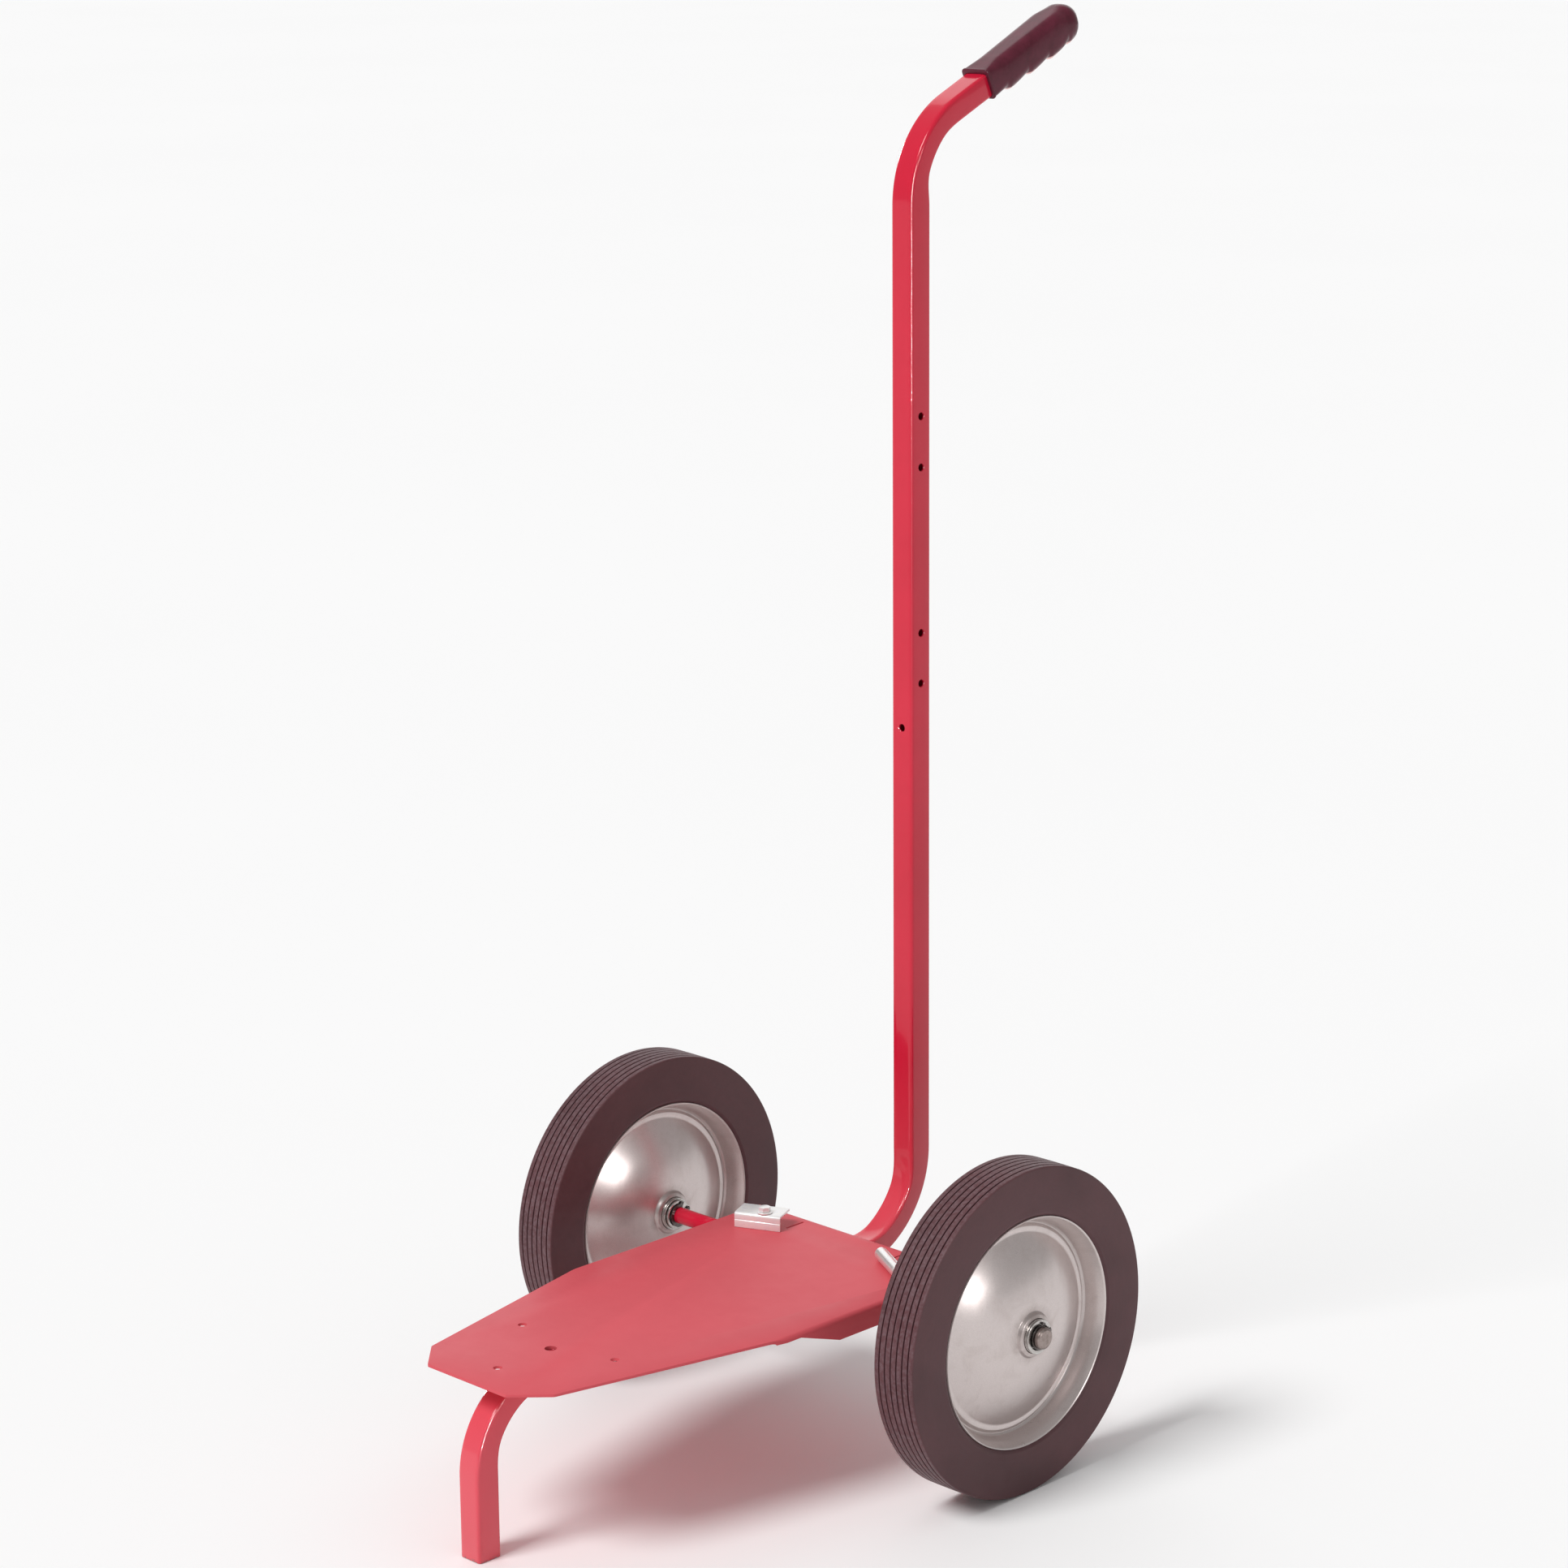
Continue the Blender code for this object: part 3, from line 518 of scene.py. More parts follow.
DARK = turned_steel("dark_steel", (0.17, 0.155, 0.15), (0.07, 0.055, 0.05), 0.26, 0.46)


# ---------------------------------------------------------------- frame

def ease(value):
    """A smooth step from 0 to 1."""
    value = min(max(value, 0.0), 1.0)
    return value * value * (3 - 2 * value)


def handle_station(distance):
    """The station (y, z, lean) at a distance along the handle from the end of the upper bend."""
    y = UPRIGHT_Y + UPPER_BEND * (1 - math.cos(HANDLE_TURN)) + distance * math.sin(HANDLE_TURN)
    z = UPPER_BEND_Z + UPPER_BEND * math.sin(HANDLE_TURN) + distance * math.cos(HANDLE_TURN)
    return y, z, HANDLE_TURN


def tube_stations():
    """Stations from foot to handle end, each with how far its low and high walls are pressed in."""
    stations = [((LEG_Y, 0.0, 0.0), 0.0, 0.0)]
    shares = [k / BEND_STEPS for k in range(BEND_STEPS + 1)]
    for share in shares:
        turn = math.radians(90) * share
        y = LEG_Y + LEG_BEND * (1 - math.cos(turn))
        z = RUN_Z - LEG_BEND * (1 - math.sin(turn))
        stations.append(((y, z, turn), LEG_COLLAPSE * ease(3 * min(share, 1 - share)), 0.0))
    for share in shares:
        turn = math.radians(90) * (1 - share)
        y = UPRIGHT_Y - LOWER_BEND * (1 - math.cos(turn))
        z = RUN_Z + LOWER_BEND * (1 - math.sin(turn))
        stations.append(((y, z, turn), 0.0, LOWER_COLLAPSE * ease(3 * min(share, 1 - share))))
    for share in shares:
        turn = HANDLE_TURN * share
        y = UPRIGHT_Y + UPPER_BEND * (1 - math.cos(turn))
        z = UPPER_BEND_Z + UPPER_BEND * math.sin(turn)
        press = UPPER_COLLAPSE + (HANDLE_COLLAPSE - UPPER_COLLAPSE) * ease(3 * share - 2)
        stations.append(((y, z, turn), press * ease(3 * share), 0.0))
    stations.append((handle_station(TUBE_END), HANDLE_COLLAPSE, 0.0))
    return stations


def box_section(half_width, low, high, corner, low_dish=0.0, high_dish=0.0):
    """Points (x, n) anticlockwise around a rounded rectangle, its low and high walls dished inward."""
    across = 8
    flat = half_width - corner
    points = []
    for x, n, start in ((flat, high - corner, 0), (-flat, high - corner, 90),
                        (-flat, low + corner, 180), (flat, low + corner, 270)):
        for k in range(7):
            angle = math.radians(start + 15 * k)
            points.append((x + corner * math.cos(angle), n + corner * math.sin(angle)))
        if start in (0, 180):
            level, dish = (high, -high_dish) if start == 0 else (low, low_dish)
            for k in range(1, across):
                along = x * (1 - 2 * k / across)
                points.append((along, level + dish * (1 - (along / flat) ** 2)))
    return points


def ring_at(section, station):
    """A section's points in the tube's plane at a station whose lean goes from +Z towards +Y."""
    y, z, lean = station
    return [(x, y - n * math.cos(lean), z + n * math.sin(lean)) for x, n in section]


def frame_tube():
    """The bent tube with its bore, cross holes, deck bolt hole and axle hole."""
    half = TUBE / 2
    bolt_hole = 3.5 * MM
    deck_bolt_y = AXLE_Y - 341 * MM
    skins = []
    for wall, corner in ((0.0, TUBE_CORNER), (TUBE_WALL, TUBE_CORNER - TUBE_WALL)):
        rings = []
        for station, low_press, high_press in tube_stations():
            section = box_section(half - wall, low_press + wall - half, half - wall - high_press, corner,
                                  DISH * low_press, DISH * high_press)
            rings.append(ring_at(section, station))
        skins.append(rings)
    outer, inner = skins
    bm = loft(outer + inner[::-1] + outer[:1], ends=False)
    bmesh.ops.remove_doubles(bm, verts=bm.verts, dist=1e-7)
    tube = new_piece("frame_tube_skin", bm)
    break_edges(tube, 0.25 * MM, angle=60)
    cutters = [drill((0, UPRIGHT_Y, z), (1, 0, 0), bolt_hole, half) for z in CROSS_HOLES]
    cutters.append(drill((0, UPRIGHT_Y, FRONT_HOLE), (0, 1, 0), bolt_hole, half))
    cutters.append(drill((0, deck_bolt_y, RUN_Z), (0, 0, 1), 5.5 * MM, half))
    cutters.append(drill((0, AXLE_Y, WHEEL_RADIUS), (1, 0, 0), AXLE_RADIUS + GAP, half))
    cut(tube, joined(cutters))
    dress(tube, TUBE_RED, "red_paint", "chassis", "frame_tube")


def deck_outline():
    """The deck's folded cross-section (x, z)."""
    half_width = deck_high.x
    bottom = deck_low.z
    fold = 4.5 * MM
    inner = half_width - DECK_THICKNESS
    under = DECK_TOP - DECK_THICKNESS
    tight = fold - DECK_THICKNESS
    corners = [(-half_width, bottom, 0), (-half_width, DECK_TOP, fold), (half_width, DECK_TOP, fold),
               (half_width, bottom, 0), (inner, bottom, 0), (inner, under, tight),
               (-inner, under, tight), (-inner, bottom, 0)]
    return fillet(corners, closed=True)


def deck_plan():
    """The deck's plan (x, y): a blunt nose widening to the folded sides."""
    chamfer = 29.5 * MM
    nose = 79.9 * MM
    side = deck_high.x + 7.3 * MM
    widening = 4.32
    wide_y = deck_low.y + chamfer + (side - nose) * widening
    corners = [(nose - chamfer, deck_low.y, 3 * MM), (nose, deck_low.y + chamfer, 6 * MM),
               (side, wide_y, 0), (side, deck_high.y, 0)]
    return fillet(corners + [(-x, y, r) for x, y, r in reversed(corners)], closed=True)


def deck_plate():
    """The folded sheet: ramped flanges slotted over the axle, two relief slits and the bolt holes."""
    over = 10 * MM
    deck = new_piece("deck_panel", prism(deck_outline(), 1, deck_low.y - over, deck_high.y + over))
    cut(deck, prism(deck_plan(), 2, deck_low.z - 2 * over, DECK_TOP + 2 * over), "INTERSECT")
    front, ramp_start, ramp_end = -210, -164, -64
    ramp_top, below = 162.0, 129.0
    ramp = [(front, ramp_top), (ramp_start, ramp_top), (ramp_end, below), (front, below)]
    ramp = [(AXLE_Y + y * MM, z * MM) for y, z in ramp]
    slot_low = AXLE_Y - AXLE_RADIUS - GAP
    slot_high = AXLE_Y + AXLE_RADIUS + GAP
    slot_foot = 120 * MM
    slot = [(slot_low, WHEEL_RADIUS), (slot_low, slot_foot), (slot_high, slot_foot),
            (slot_high, WHEEL_RADIUS)]
    trims = []
    for side in (-1, 1):
        flange = sorted((side * 122 * MM, side * 150 * MM))
        slit = rectangle(*sorted((side * 62.9 * MM, side * 65.1 * MM)), AXLE_Y + 17 * MM, AXLE_Y + 40 * MM)
        trims.append(prism(ramp, 0, *flange))
        trims.append(prism(slot, 0, *flange))
        trims.append(prism(slit, 2, DECK_TOP - over, DECK_TOP + over))
    cut(deck, joined(trims))
    break_edges(deck, 0.35 * MM)
    middle = DECK_TOP - DECK_THICKNESS / 2
    reach = DECK_THICKNESS / 2
    nose_holes = ((60, -320.5, 4.0), (-60, -320.5, 4.0), (0, -402.6, 4.0), (0, -341.0, 5.5))
    holes = [drill((x * MM, AXLE_Y + y * MM, middle), (0, 0, 1), radius * MM, reach, chamfer=0.08 * MM)
             for x, y, radius in nose_holes]
    holes += [drill((*place, middle), (0, 0, 1), 3.0 * MM, reach) for place in (CLAMP_BOLT, BAR_BOLT)]
    cut(deck, joined(holes))
    dress(deck, DECK_RED, "red_paint", "chassis", "deck_plate")


def along_axle(distance, side):
    """A frame on the axle whose +Z points outboard on the given side (+1 right, -1 left)."""
    return (Matrix.Translation((side * distance, AXLE_Y, WHEEL_RADIUS))
            @ Matrix.Rotation(side * math.radians(90), 4, "Y"))


def axle_rod():
    """The turned rod, with two ring grooves at each end."""
    rod = AXLE_RADIUS / MM
    groove = 7.0
    wheel = WHEEL_X / MM
    end = wheel + 41.5
    half = []
    for near, far in ((wheel - 40.5, wheel - 38.7), (wheel + 36.1, wheel + 37.9)):
        half += [(rod, near, 0), (groove, near, 0), (groove, far, 0), (rod, far, 0)]
    half = fillet(half + [(rod, end, 1.0), (0.0, end, 0)])
    profile = [(radius, -distance) for radius, distance in half[::-1]] + half
    axle = new_piece("axle_rod_turned", lathe(profile, HUB_STEPS, closed=False), along_axle(0.0, 1))
    dress(axle, RED, "red_paint", "chassis", "axle_rod")


def weld_bead(name, path, radius, closed=False):
    """A painted weld: overlapping ripples along a path of points, each about half a bead wide."""
    ripple = 1.5 * MM
    travelled = 0.0
    rings = []
    for k, point in enumerate(path):
        before = path[k - 1] if k or closed else point
        after = path[(k + 1) % len(path)] if closed or k + 1 < len(path) else point
        travelled += (point - path[k - 1]).length if k else 0.0
        along = (after - before).normalized()
        side = side - along * side.dot(along) if rings else along.orthogonal()
        side.normalize()
        up = along.cross(side)
        wave = (travelled / ripple) % 1.0
        from_end = min(k + 0.3, len(path) - 0.7 - k)
        taper = 1.0 if closed else math.sqrt(max(0.05, min(1.0, 0.24 * from_end)))
        size = radius * (0.86 + 0.14 * math.sqrt(1 - wave)) * taper
        rings.append([point + side * size * math.cos(a) + up * size * math.sin(a)
                      for a in (math.radians(30 * j) for j in range(12))])
    if closed:
        rings.append(rings[0])
    bm = loft(rings, ends=not closed)
    bmesh.ops.remove_doubles(bm, verts=bm.verts, dist=1e-7)
    dress(new_piece(name, bm), WELD_RED, "red_paint", "chassis", angle=60)


def welds():
    """Stitch welds between tube and deck, and beads around the axle."""
    pitch = 0.5 * MM
    points = 70
    under = DECK_TOP - DECK_THICKNESS - 0.8 * MM
    steps = 108
    reach = AXLE_RADIUS + 0.5 * MM
    turns = [2 * math.pi * k / steps for k in range(steps)]
    for side, label in ((-1, "left"), (1, "right")):
        x = side * (TUBE / 2 + 0.5 * MM)
        for number, start in enumerate((-313.7 * MM, -183.7 * MM, -53.7 * MM)):
            path = [Vector((x, AXLE_Y + start + pitch * k, under)) for k in range(points)]
            weld_bead(f"{label}_deck_weld_{number + 1}", path, 2.3 * MM)
        for where, distance in (("tube", TUBE / 2 + 0.5 * MM), ("flange", deck_high.x + 0.6 * MM)):
            path = [Vector((side * distance, AXLE_Y + reach * math.cos(turn),
                            WHEEL_RADIUS + reach * math.sin(turn))) for turn in turns]
            weld_bead(f"{label}_axle_{where}_weld", path, 1.7 * MM, closed=True)


# ---------------------------------------------------------------- handle

def grip_low(distance):
    """The depth of the grip's underside and the height of its four finger ridges, steep on one side."""
    first_peak = 67.3 * MM
    spacing = 30.0 * MM
    steep = 6.5 * MM
    shallow = 26 * MM
    height = 0.0
    for k in range(4):
        peak = first_peak + spacing * k
        rise = (distance - peak + steep) / steep
        fall = 1 - max(0.0, (distance - peak) / shallow) ** 1.6
        if 0 < rise <= 1:
            height = max(height, ease(rise))
        elif 0 < fall < 1:
            height = max(height, fall)
    return 13.0 * MM, 4.3 * MM * height


def grip_corner(distance):
    """The section's corner radius: small at the open end, broad along the body, full at the tip."""
    body = 3.6 * MM + 5.4 * MM * ease((distance - GRIP_START) / (26 * MM))
    full = ease((distance - GRIP_START - GRIP_LENGTH + 36 * MM) / (20 * MM))
    return body + (15.2 * MM - body) * full


def grip_swell(distance):
    """How much fuller than average the grip is: it widens from its open end towards its tip."""
    return (2.6 * ease(0.25 + 0.5 * (distance - GRIP_START) / GRIP_LENGTH) / ease(0.75) - 1.5) * MM


def handle_grip():
    """A moulded sleeve with a lipped open end, four finger ridges below and a domed tip."""
    half_width = 16.9 * MM
    top = 18.1 * MM
    dome = 17.5 * MM
    end = GRIP_START + GRIP_LENGTH - 0.2 * MM
    lip = 2.4 * MM
    count = 150
    body_start = GRIP_START + 6 * MM
    lip_steps = (0.0, 0.1, 0.3, 0.6, 1.2, 1.8, 2.1, 2.4, 2.7, 3.2, 4.0, 5.0)
    distances = [GRIP_START + step * MM for step in lip_steps]
    distances += [body_start + (end - dome - body_start) * k / count for k in range(count + 1)]
    distances += [end - dome + dome * math.sin(math.radians(angle)) for angle in range(4, 90, 4)]
    rings = []
    for distance in distances:
        reach = max(0.0, (distance - (end - dome)) / dome)
        size = math.sqrt(1 - reach * reach)
        from_lip = distance - GRIP_START - lip
        inset = 0.5 * MM * ease((from_lip + 0.3 * MM) / (0.6 * MM)) * (1 - ease(from_lip / (22 * MM)))
        inset += 0.4 * MM * (1 - math.sqrt(min(1.0, (distance - GRIP_START) / (0.6 * MM))))
        depth, ridge = grip_low(distance)
        swell = grip_swell(distance)
        wide = half_width + swell
        low = -depth - ridge - swell
        high = top + swell
        middle = (high + low) / 2
        section = box_section((wide - inset) * size, middle + (low + inset - middle) * size,
                              middle + (high - inset - middle) * size, grip_corner(distance) * size)
        bowed = []
        for x, n in section:
            across = x / (wide * size)
            rise = ridge * 0.3 * size * across * across if n < middle else 0.0
            bowed.append((x, n + rise))
        rings.append(ring_at(bowed, handle_station(distance)))
    bore = box_section(TUBE / 2 + GAP, HANDLE_COLLAPSE - TUBE / 2 - GAP, TUBE / 2 + GAP, TUBE_CORNER)
    bores = [ring_at(bore, handle_station(distance)) for distance in (TUBE_END + GAP, GRIP_START)]
    bm = loft(bores + rings)
    dress(new_piece("handle_grip_moulded", bm), VINYL, "grip_vinyl", "chassis", "handle_grip", angle=50)


# ---------------------------------------------------------------- wheels

def tyre_profile():
    """A flat-sided solid tyre with seven narrow ribs across the whole of its tread."""
    ribs = 7
    half = TYRE_WIDTH / 2 / MM
    rim = 107.4
    outer = WHEEL_RADIUS / MM
    groove = 1.5
    deep = 2.0
    pitch = (2 * half + groove) / ribs
    corners = []
    for k in range(ribs):
        start = -half + k * pitch
        end = start + pitch - groove
        crown = 0.2 * ((start + end) / 2 / half) ** 2
        corners.append((outer - crown, start, 0.3 if k else 1.5))
        corners.append((outer - crown, end, 0.3 if k < ribs - 1 else 1.5))
        if k < ribs - 1:
            corners += [(outer - deep, end + 0.25, 0.2), (outer - deep, end + groove - 0.25, 0.2)]
    side = [(rim + 3.0, half, 2.0), (rim, half - 1.6, 1.0), (103.6, 0.6 * half, 4.0), (100.7, 3.5, 1.5)]
    outline = [(r, -z, f) for r, z, f in reversed(side)] + corners + side
    return fillet(outline, closed=True)


# The disc's face as (radius, distance from the wheel's centre plane, fillet) in millimetres
DISC_FACE = [(106.5, 22.4, 0), (105.2, 21.8, 2.0), (101.6, 14.0, 30), (98.7, 3.9, 3.0), (96.4, 1.7, 1.2),
             (93.4, 4.9, 1.3), (88.8, 3.9, 4.0), (79.5, 9.1, 14), (66.0, 16.2, 100), (48.0, 22.6, 100),
             (30.0, 26.2, 60), (21.2, 27.2, 1.6), (19.6, 30.5, 1.8), (16.3, 31.4, 0)]


def sheet_profile(face, thickness):
    """A sheet's closed profile: the face and, behind it, the same line moved back by the thickness."""
    points = [Vector(point) for point in fillet(face)]
    back = []
    for k, point in enumerate(points):
        along = (points[min(k + 1, len(points) - 1)] - points[max(k - 1, 0)]).normalized()
        back.append(point + Vector((-along.y, along.x)) * thickness)
    return [tuple(point) for point in points + back[::-1]]


def turned_piece(name, corners, material, slot, body, matrix, node):
    """A lathed piece from rounded corners (radius, height, fillet) in millimetres."""
    piece = new_piece(name, lathe(fillet(corners, closed=True), HUB_STEPS), matrix)
    dress(piece, material, slot, body, node)


def retaining_ring(name, side, start, node):
    """An open spring ring whose two drilled ears face up and back, from a distance along the axle."""
    half_gap = 20.0
    ear = 15.0
    steps = 120
    bore = 7.3 * MM
    eye_circle = 10.9 * MM
    middle = math.radians(45)
    outline = []
    inner = []
    for k in range(steps + 1):
        degrees = half_gap + (360 - 2 * half_gap) * k / steps
        from_end = min(degrees - half_gap, 360 - half_gap - degrees)
        angle = middle + math.radians(degrees)
        band = 11.2 + 0.3 * (1 - math.cos(math.radians(degrees) / 2))
        radius = (band + 2.3 * (1 - ease((from_end - ear + 3) / 6))) * MM
        outline.append((radius * math.cos(angle), radius * math.sin(angle)))
        inner.append((bore * math.cos(angle), bore * math.sin(angle)))
    low, high = sorted((side * start, side * (start + 1.2 * MM)))
    bm = prism(outline + inner[::-1], 0, low, high)
    ring = new_piece(name, bm, Matrix.Translation((0, AXLE_Y, WHEEL_RADIUS)))
    eyes = []
    for sign in (-1, 1):
        angle = middle + sign * math.radians(half_gap + ear * 0.48)
        eye = ((low + high) / 2, AXLE_Y + eye_circle * math.cos(angle),
               WHEEL_RADIUS + eye_circle * math.sin(angle))
        eyes.append(drill(eye, (1, 0, 0), 0.8 * MM, 0.6 * MM, chamfer=0.1 * MM, steps=20))
    cut(ring, joined(eyes))
    dress(ring, DARK, "dark_steel", "chassis", node)


def ball_cage(name, body, matrix, node):
    """Eight balls in a pressed ring, as one piece."""
    balls = 8
    pitch_radius = 11 * MM
    shift = matrix @ Matrix.Translation((0, 0, -BALL_DEPTH))
    ring = [(11.5, 2.3, 0.3), (11.5, -2.3, 0.3), (10.5, -2.3, 0.3), (10.5, 2.3, 0.3)]
    cage = new_piece(name, lathe(fillet(ring, closed=True), HUB_STEPS), shift)
    spheres = bmesh.new()
    for k in range(balls):
        angle = 2 * math.pi * (k + 0.5) / balls
        around = (pitch_radius * math.cos(angle), pitch_radius * math.sin(angle), 0)
        centre = shift @ Matrix.Translation(around)
        bmesh.ops.create_uvsphere(spheres, u_segments=24, v_segments=16, radius=1.98 * MM, matrix=centre)
    cut(cage, spheres, "UNION")
    dress(cage, STEEL, "bearing_steel", body, node, angle=40)


OUTER_RACE = [(15.9, 2.0, 0.5), (15.9, 0.3, 0.3), (13.9, 0.3, 0.2), (13.9, -8.2, 0.4), (12.2, -8.2, 0.3),
              (12.2, -5.7, 0.2), (13.2, -4.8, 0.8), (13.2, -3.2, 0.8), (12.2, -2.3, 0.2), (12.2, 2.0, 0.5)]
INNER_RACE = [(10.0, 2.3, 0.4), (10.0, -1.8, 0.2), (8.8, -2.8, 0.8), (8.8, -5.2, 0.8), (10.0, -6.2, 0.2),
              (10.0, -8.4, 0.4), (8.1, -8.4, 0.2), (8.1, 2.3, 0.2)]


def wheel(label, side):
    """Tyre, two pressed halves, hub sleeve, two bearings and what keeps them on the axle."""
    body = label + "_wheel"
    centre = along_axle(WHEEL_X, side)
    reverse = along_axle(WHEEL_X, -side)
    reverse.translation.x = side * WHEEL_X
    tyre = new_piece(label + "_tyre_ribbed", lathe(tyre_profile(), TYRE_STEPS), centre)
    dress(tyre, RUBBER, "tyre_rubber", body, label + "_tyre", angle=50)
    for place, seat, matrix in (("outer", OUTER_SEAT, centre), ("inner", INNER_SEAT, reverse)):
        sheet = lathe(sheet_profile(DISC_FACE, 1.3), DISC_STEPS)
        disc = new_piece(f"{label}_{place}_disc_pressed", sheet, matrix)
        dress(disc, SILVER, "silver_paint", body, f"{label}_{place}_disc", angle=40)
        seated = matrix @ Matrix.Translation((0, 0, seat))
        turned_piece(f"{label}_{place}_race_turned", OUTER_RACE, STEEL, "bearing_steel", body, seated,
                     f"{label}_{place}_bearing_race")
        turned_piece(f"{label}_{place}_cone_turned", INNER_RACE, STEEL, "bearing_steel", "chassis", seated,
                     f"{label}_{place}_bearing_cone")
        ball_cage(f"{label}_{place}_balls", f"{label}_{place}_cage", seated, f"{label}_{place}_ball_cage")
    sleeve = [(15.9, OUTER_SEAT / MM, 0.4), (15.9, -INNER_SEAT / MM, 0.4), (14.2, -INNER_SEAT / MM, 0.4),
              (14.2, OUTER_SEAT / MM, 0.4)]
    turned_piece(label + "_sleeve_turned", sleeve, STEEL, "bearing_steel", body, centre,
                 label + "_hub_sleeve")
    washer = [(14.3, 2.2, 0.5), (14.3, 0.0, 0.5), (8.3, 0.0, 0.2), (8.3, 2.2, 0.2)]
    turned_piece(label + "_inner_washer_turned", washer, STEEL, "bearing_steel", "chassis",
                 reverse @ Matrix.Translation((0, 0, INNER_SEAT + 2.7 * MM)), label + "_inner_washer")
    retaining_ring(label + "_inner_ring", side, WHEEL_X - 40.2 * MM, label + "_inner_retaining_ring")
    retaining_ring(label + "_outer_ring", side, WHEEL_X + 36.4 * MM, label + "_outer_retaining_ring")
    cap = [(0.0, 43.3, 0), (7.9, 43.2, 1.2), (9.9, 41.6, 1.0), (10.0, 37.9, 0.2), (8.3, 37.9, 0.2),
           (8.3, 41.8, 0.6), (0.0, 41.9, 0)]
    piece = new_piece(label + "_axle_cap_pressed", lathe(fillet(cap), HUB_STEPS, closed=False), centre)
    dress(piece, CAP_STEEL, "dark_steel", "chassis", label + "_axle_cap")


# ---------------------------------------------------------------- hold-downs

def hex_bolt(name, place, under_head, node):
    """A hex bolt with a chamfered head and a threaded end."""
    head = 4.4
    across = 5.8
    crest = 2.9
    root = 2.45
    pitch = 0.8
    low = under_head / MM
    tip = DECK_TOP / MM - 5.6
    thread = []
    level = low - pitch / 2
    while level - pitch > tip + 0.6:
        thread += [(crest, level), (crest, level - 0.12), (root, level - 0.4), (crest, level - 0.68)]
        level -= pitch
    shank = [(0.0, low + 1.0), (crest, low + 1.0)] + thread + [(2.3, tip + 0.4), (1.9, tip), (0.0, tip)]
    bolt = new_piece(name, lathe(shank, 32, closed=False), Matrix.Translation((*place, 0)))
    flats = lathe([(0.0, low), (across, low), (across, low + head), (0.0, low + head)], 6, closed=False)
    nut = new_piece(name + "_head", flats, Matrix.Translation((*place, 0)))
    dome = lathe([(0.0, low - 1), (across + 1, low - 1), (across + 1, low + head - 0.9),
                  (across - 0.9, low + head), (0.0, low + head + 0.05)], HUB_STEPS, closed=False)
    bmesh.ops.translate(dome, verts=dome.verts, vec=(*place, 0))
    cut(nut, dome, "INTERSECT")
    head_mesh = bmesh.new()
    head_mesh.from_mesh(nut.data)
    bmesh.ops.translate(head_mesh, verts=head_mesh.verts, vec=(*place, 0))
    bpy.data.objects.remove(nut, do_unlink=True)
    cut(bolt, head_mesh, "UNION")
    dress(bolt, ZINC, "zinc_plate", "chassis", node)


def bolt_washer(name, radius, place, level, node):
    """A flat washer lying at a level."""
    bore = 3.2
    thick = 1.2
    corners = [(radius, thick, 0.3), (radius, 0.0, 0.3), (bore, 0.0, 0.15), (bore, thick, 0.15)]
    turned_piece(name, corners, ZINC, "zinc_plate", "chassis", Matrix.Translation((*place, level)), node)


def stop_clamp():
    """A bent strap whose lip stands on the deck, with a scored line halfway down the lip."""
    length = 46.0 * MM
    depth = 26.0 * MM
    along = 5.0 * MM
    sheet = 2.2 * MM
    fold = 3.0 * MM
    lip = -7.2 * MM
    height = 15.0 * MM
    foot = DECK_TOP + GAP
    top = DECK_TOP + height
    middle = (foot + top) / 2
    corners = [(lip, foot, 0), (lip, middle - 0.5 * MM, 0.2 * MM), (lip + 0.5 * MM, middle, 0.1 * MM),
               (lip, middle + 0.5 * MM, 0.2 * MM), (lip, top, fold), (lip + depth, top, 0),
               (lip + depth, top - sheet, 0), (lip + sheet, top - sheet, fold - sheet),
               (lip + sheet, foot, 0)]
    bm = prism(fillet(corners, closed=True), 0, -length / 2 - along, length / 2 - along)
    place = Matrix.Translation((*CLAMP_BOLT, 0)) @ Matrix.Rotation(CLAMP_ANGLE, 4, "Z")
    clamp = new_piece("stop_clamp_bent", bm, place)
    break_edges(clamp, 0.3 * MM, angle=50)
    hole = drill((*CLAMP_BOLT, top - sheet / 2), (0, 0, 1), 3.3 * MM, sheet / 2)
    cut(clamp, hole)
    dress(clamp, ZINC, "zinc_plate", "clamp", "stop_clamp")
    bolt_washer("clamp_washer_turned", 7.6, CLAMP_BOLT, top + GAP, "clamp_washer")
    hex_bolt("clamp_bolt_hex", CLAMP_BOLT, top + GAP + 1.5 * MM, "clamp_bolt")


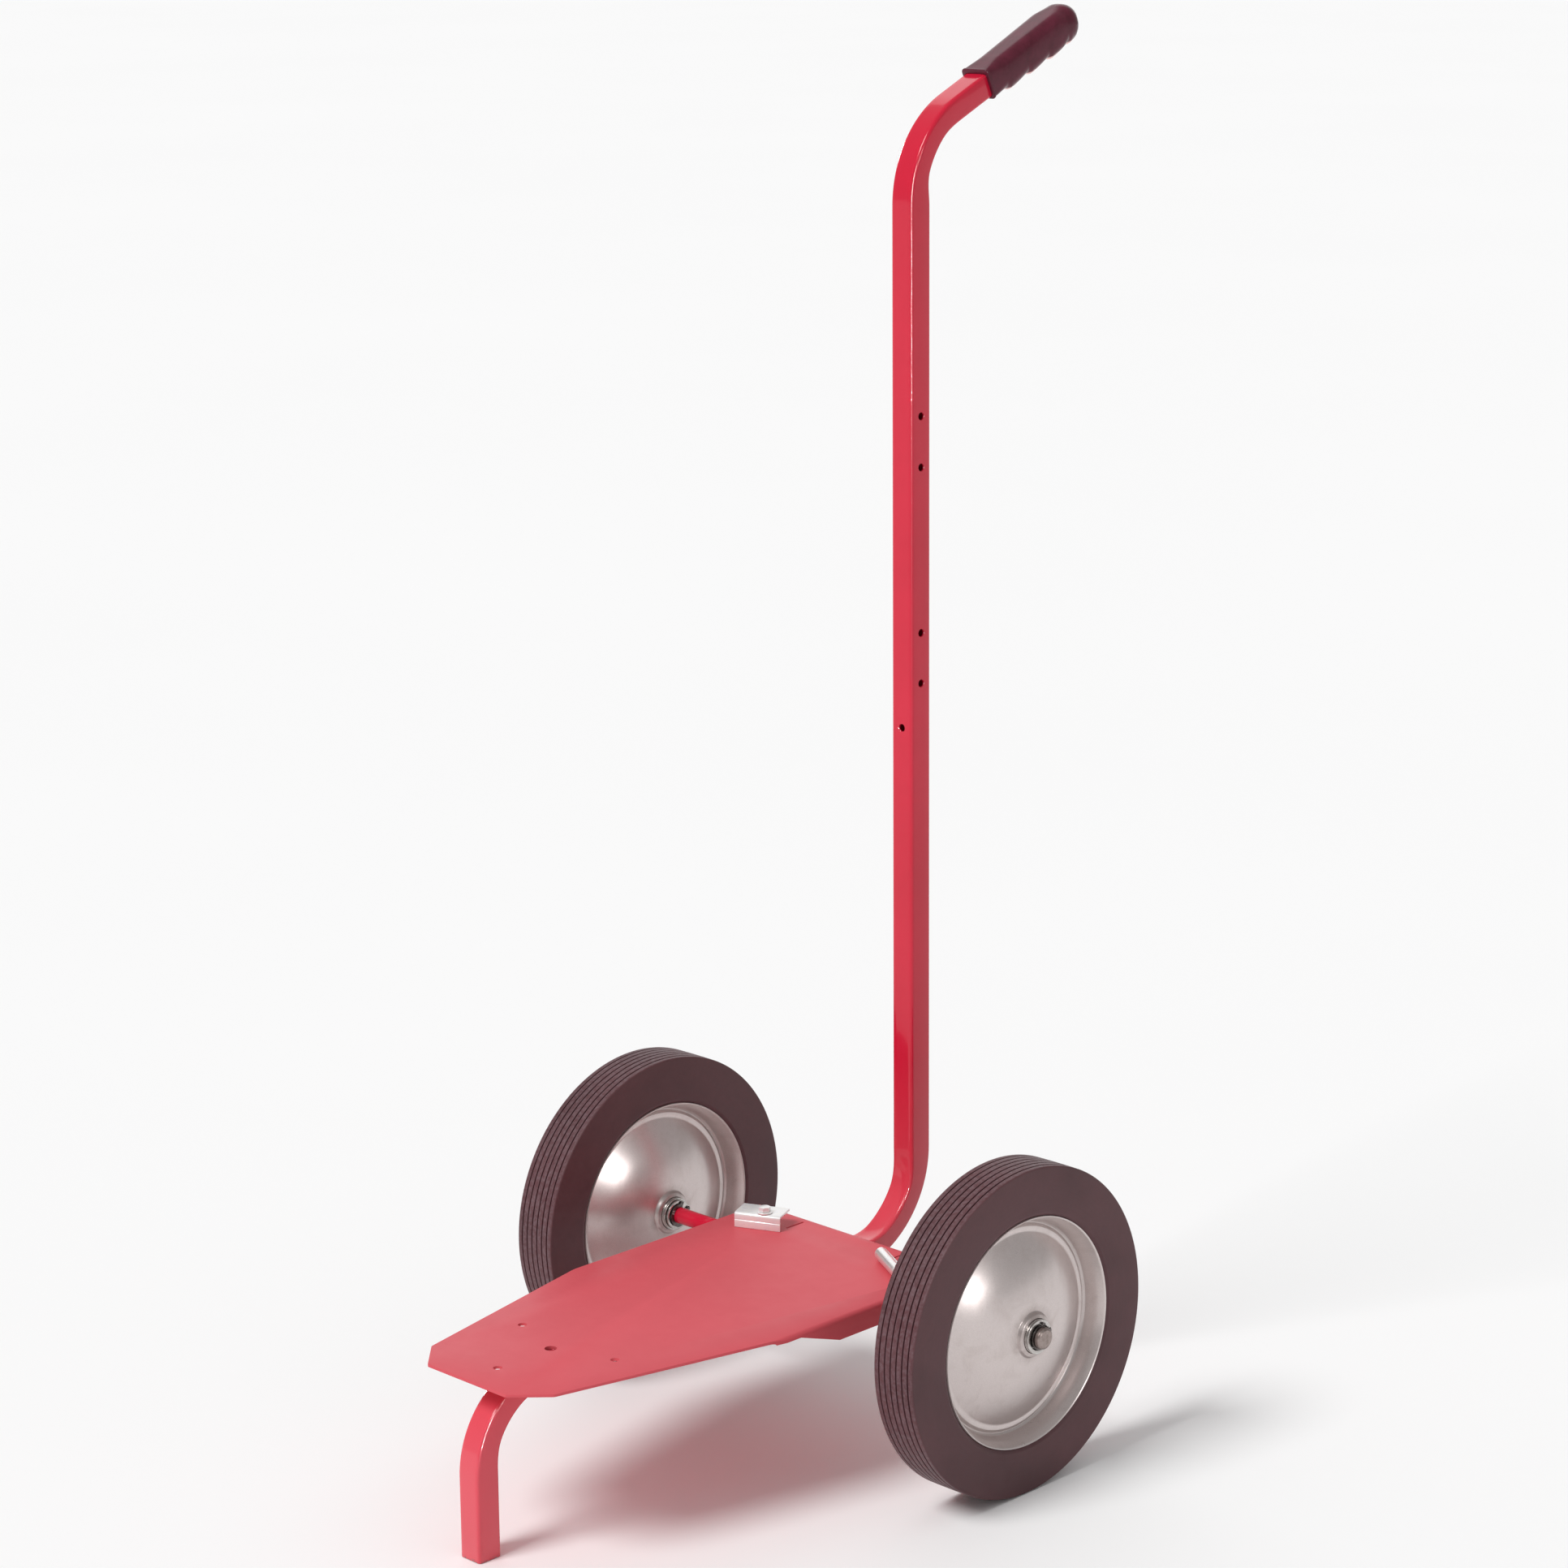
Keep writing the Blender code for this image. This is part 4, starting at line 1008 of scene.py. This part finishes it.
def hold_down_bar():
    """A round bar lying on the deck, with a spot face under its bolt."""
    radius = 6.3
    inboard = 60.0
    outboard = 11.0
    spot = 8.0
    clear = 10.0
    level = DECK_TOP + GAP + radius * MM
    flat = level + 5.2 * MM
    profile = fillet([(0.0, -inboard, 0), (radius, -inboard, 0.7),
                      (radius, outboard, 0.7), (0.0, outboard, 0)])
    place = Matrix.Translation((*BAR_BOLT, level)) @ Matrix.Rotation(BAR_ANGLE, 4, "Z")
    bar = new_piece("hold_down_bar_turned", lathe(profile, HUB_STEPS, closed=False),
                    place @ Matrix.Rotation(math.radians(90), 4, "Y"))
    face = lathe([(0.0, 0.0), (spot, 0.0), (spot, clear), (0.0, clear)], HUB_STEPS, closed=False)
    bmesh.ops.translate(face, verts=face.verts, vec=(*BAR_BOLT, flat))
    cut(bar, face)
    cut(bar, drill((*BAR_BOLT, level - 0.5 * MM), (0, 0, 1), 3.3 * MM, 5.7 * MM))
    dress(bar, ROD_ZINC, "zinc_plate", "bar", "hold_down_bar")
    bolt_washer("bar_washer_turned", 7.0, BAR_BOLT, flat + GAP, "bar_washer")
    hex_bolt("bar_bolt_hex", BAR_BOLT, flat + GAP + 1.5 * MM, "bar_bolt")


# ---------------------------------------------------------------- floor, light and camera

def floor():
    """A wide, matt, nearly white slab just under the foot and the tyres."""
    half = 60
    mesh = mesh_from(prism(rectangle(-half, half, -half, half), 2, -20 * MM, -0.5 * MM), "floor")
    plane = bpy.data.objects.new("floor", mesh)
    bpy.context.scene.collection.objects.link(plane)
    finish = Finish("floor", IOR=1.3, Specular_IOR_Level=0.0)
    cloud = finish.noise(1.5)
    colour = finish.mix(cloud, (0.96, 0.96, 0.96), (0.98, 0.98, 0.98))
    roughness = finish.span(cloud, 0.0, 1.0, 0.85, 0.9)
    mesh.materials.append(finish.surface(colour, roughness, [(cloud, 0.1 * MM)]))


def direction(azimuth, elevation):
    """Unit vector from the object: azimuth 0 is -Y and 90 is +X, in degrees."""
    a = math.radians(azimuth)
    e = math.radians(elevation)
    return Vector((math.sin(a) * math.cos(e), -math.cos(a) * math.cos(e), math.sin(e)))


def sun(name, azimuth, elevation, strength, spread, sheen_only=False):
    """A soft distant light from a direction; one that only adds sheen doesn't light diffusely."""
    lamp = bpy.data.lights.new(name, "SUN")
    lamp.energy = strength
    lamp.angle = math.radians(spread)
    obj = bpy.data.objects.new(name, lamp)
    obj.rotation_mode = "QUATERNION"
    obj.rotation_quaternion = direction(azimuth, elevation).to_track_quat("Z", "Y")
    obj.visible_diffuse = not sheen_only
    bpy.context.scene.collection.objects.link(obj)
    return obj


def strip(name, azimuth, distance, low, high, width, power):
    """An upright strip light that only adds sheen, at a distance and between two heights."""
    lamp = bpy.data.lights.new(name, "AREA")
    lamp.shape = "RECTANGLE"
    lamp.size = width
    lamp.size_y = high - low
    lamp.energy = power
    obj = bpy.data.objects.new(name, lamp)
    facing = direction(azimuth, 0)
    obj.location = facing * distance + Vector((0, 0, (low + high) / 2))
    obj.rotation_mode = "QUATERNION"
    obj.rotation_quaternion = facing.to_track_quat("Z", "Y")
    obj.visible_diffuse = False
    obj.visible_camera = False
    bpy.context.scene.collection.objects.link(obj)
    return obj


def light_only(lamp, finishes):
    """Keeps a lamp to the pieces that have one of these finishes."""
    lit = bpy.data.collections.new(lamp.name + "_lit")
    for obj in bpy.data.objects:
        if obj.type == "MESH" and obj.data.materials and obj.data.materials[0] in finishes:
            lit.objects.link(obj)
    lamp.light_linking.receiver_collection = lit


def light():
    """An even white world, a soft key and backdrop light, and three lights that only add sheen."""
    world = bpy.data.worlds.new("studio")
    world.use_nodes = True
    background = world.node_tree.nodes["Background"]
    background.inputs["Color"].default_value = (1.0, 1.0, 1.0, 1.0)
    background.inputs["Strength"].default_value = 0.42
    bpy.context.scene.world = world
    sun("key", -8, 50, 2.0, 22)
    sun("side", 89, 16, 0.55, 9, sheen_only=True)
    rim = sun("rim", -99, 12, 0.9, 8, sheen_only=True)
    edge = strip("edge", 47, 4.5, 0.3, 3.4, 0.2, 450)
    for lamp in (rim, edge):
        light_only(lamp, (TUBE_RED, RED, VINYL))
    sun("backdrop", 225, 18, 0.7, 70)


def camera():
    """A long lens, looking down a little on the truck from its front right."""
    azimuth = 44.763
    elevation = 13.819
    roll = math.radians(-0.471)
    back = direction(azimuth, elevation)
    right = Vector((math.cos(math.radians(azimuth)), math.sin(math.radians(azimuth)), 0))
    up = back.cross(right)
    rolled_right = right * math.cos(roll) + up * math.sin(roll)
    rolled_up = up * math.cos(roll) - right * math.sin(roll)
    matrix = Matrix((rolled_right, rolled_up, back)).transposed().to_4x4()
    matrix.translation = (2.4879, AXLE_Y - 2.5548, 1.4898)
    data = bpy.data.cameras.new("camera")
    data.sensor_width = 36.0
    data.lens = 93.24
    data.clip_end = 200.0
    obj = bpy.data.objects.new("camera", data)
    obj.matrix_world = matrix
    bpy.context.scene.collection.objects.link(obj)
    bpy.context.scene.camera = obj


camera()
floor()
frame_tube()
deck_plate()
axle_rod()
welds()
handle_grip()
wheel("left", -1)
wheel("right", 1)
stop_clamp()
hold_down_bar()
light()

bpy.context.scene.view_settings.view_transform = "Standard"
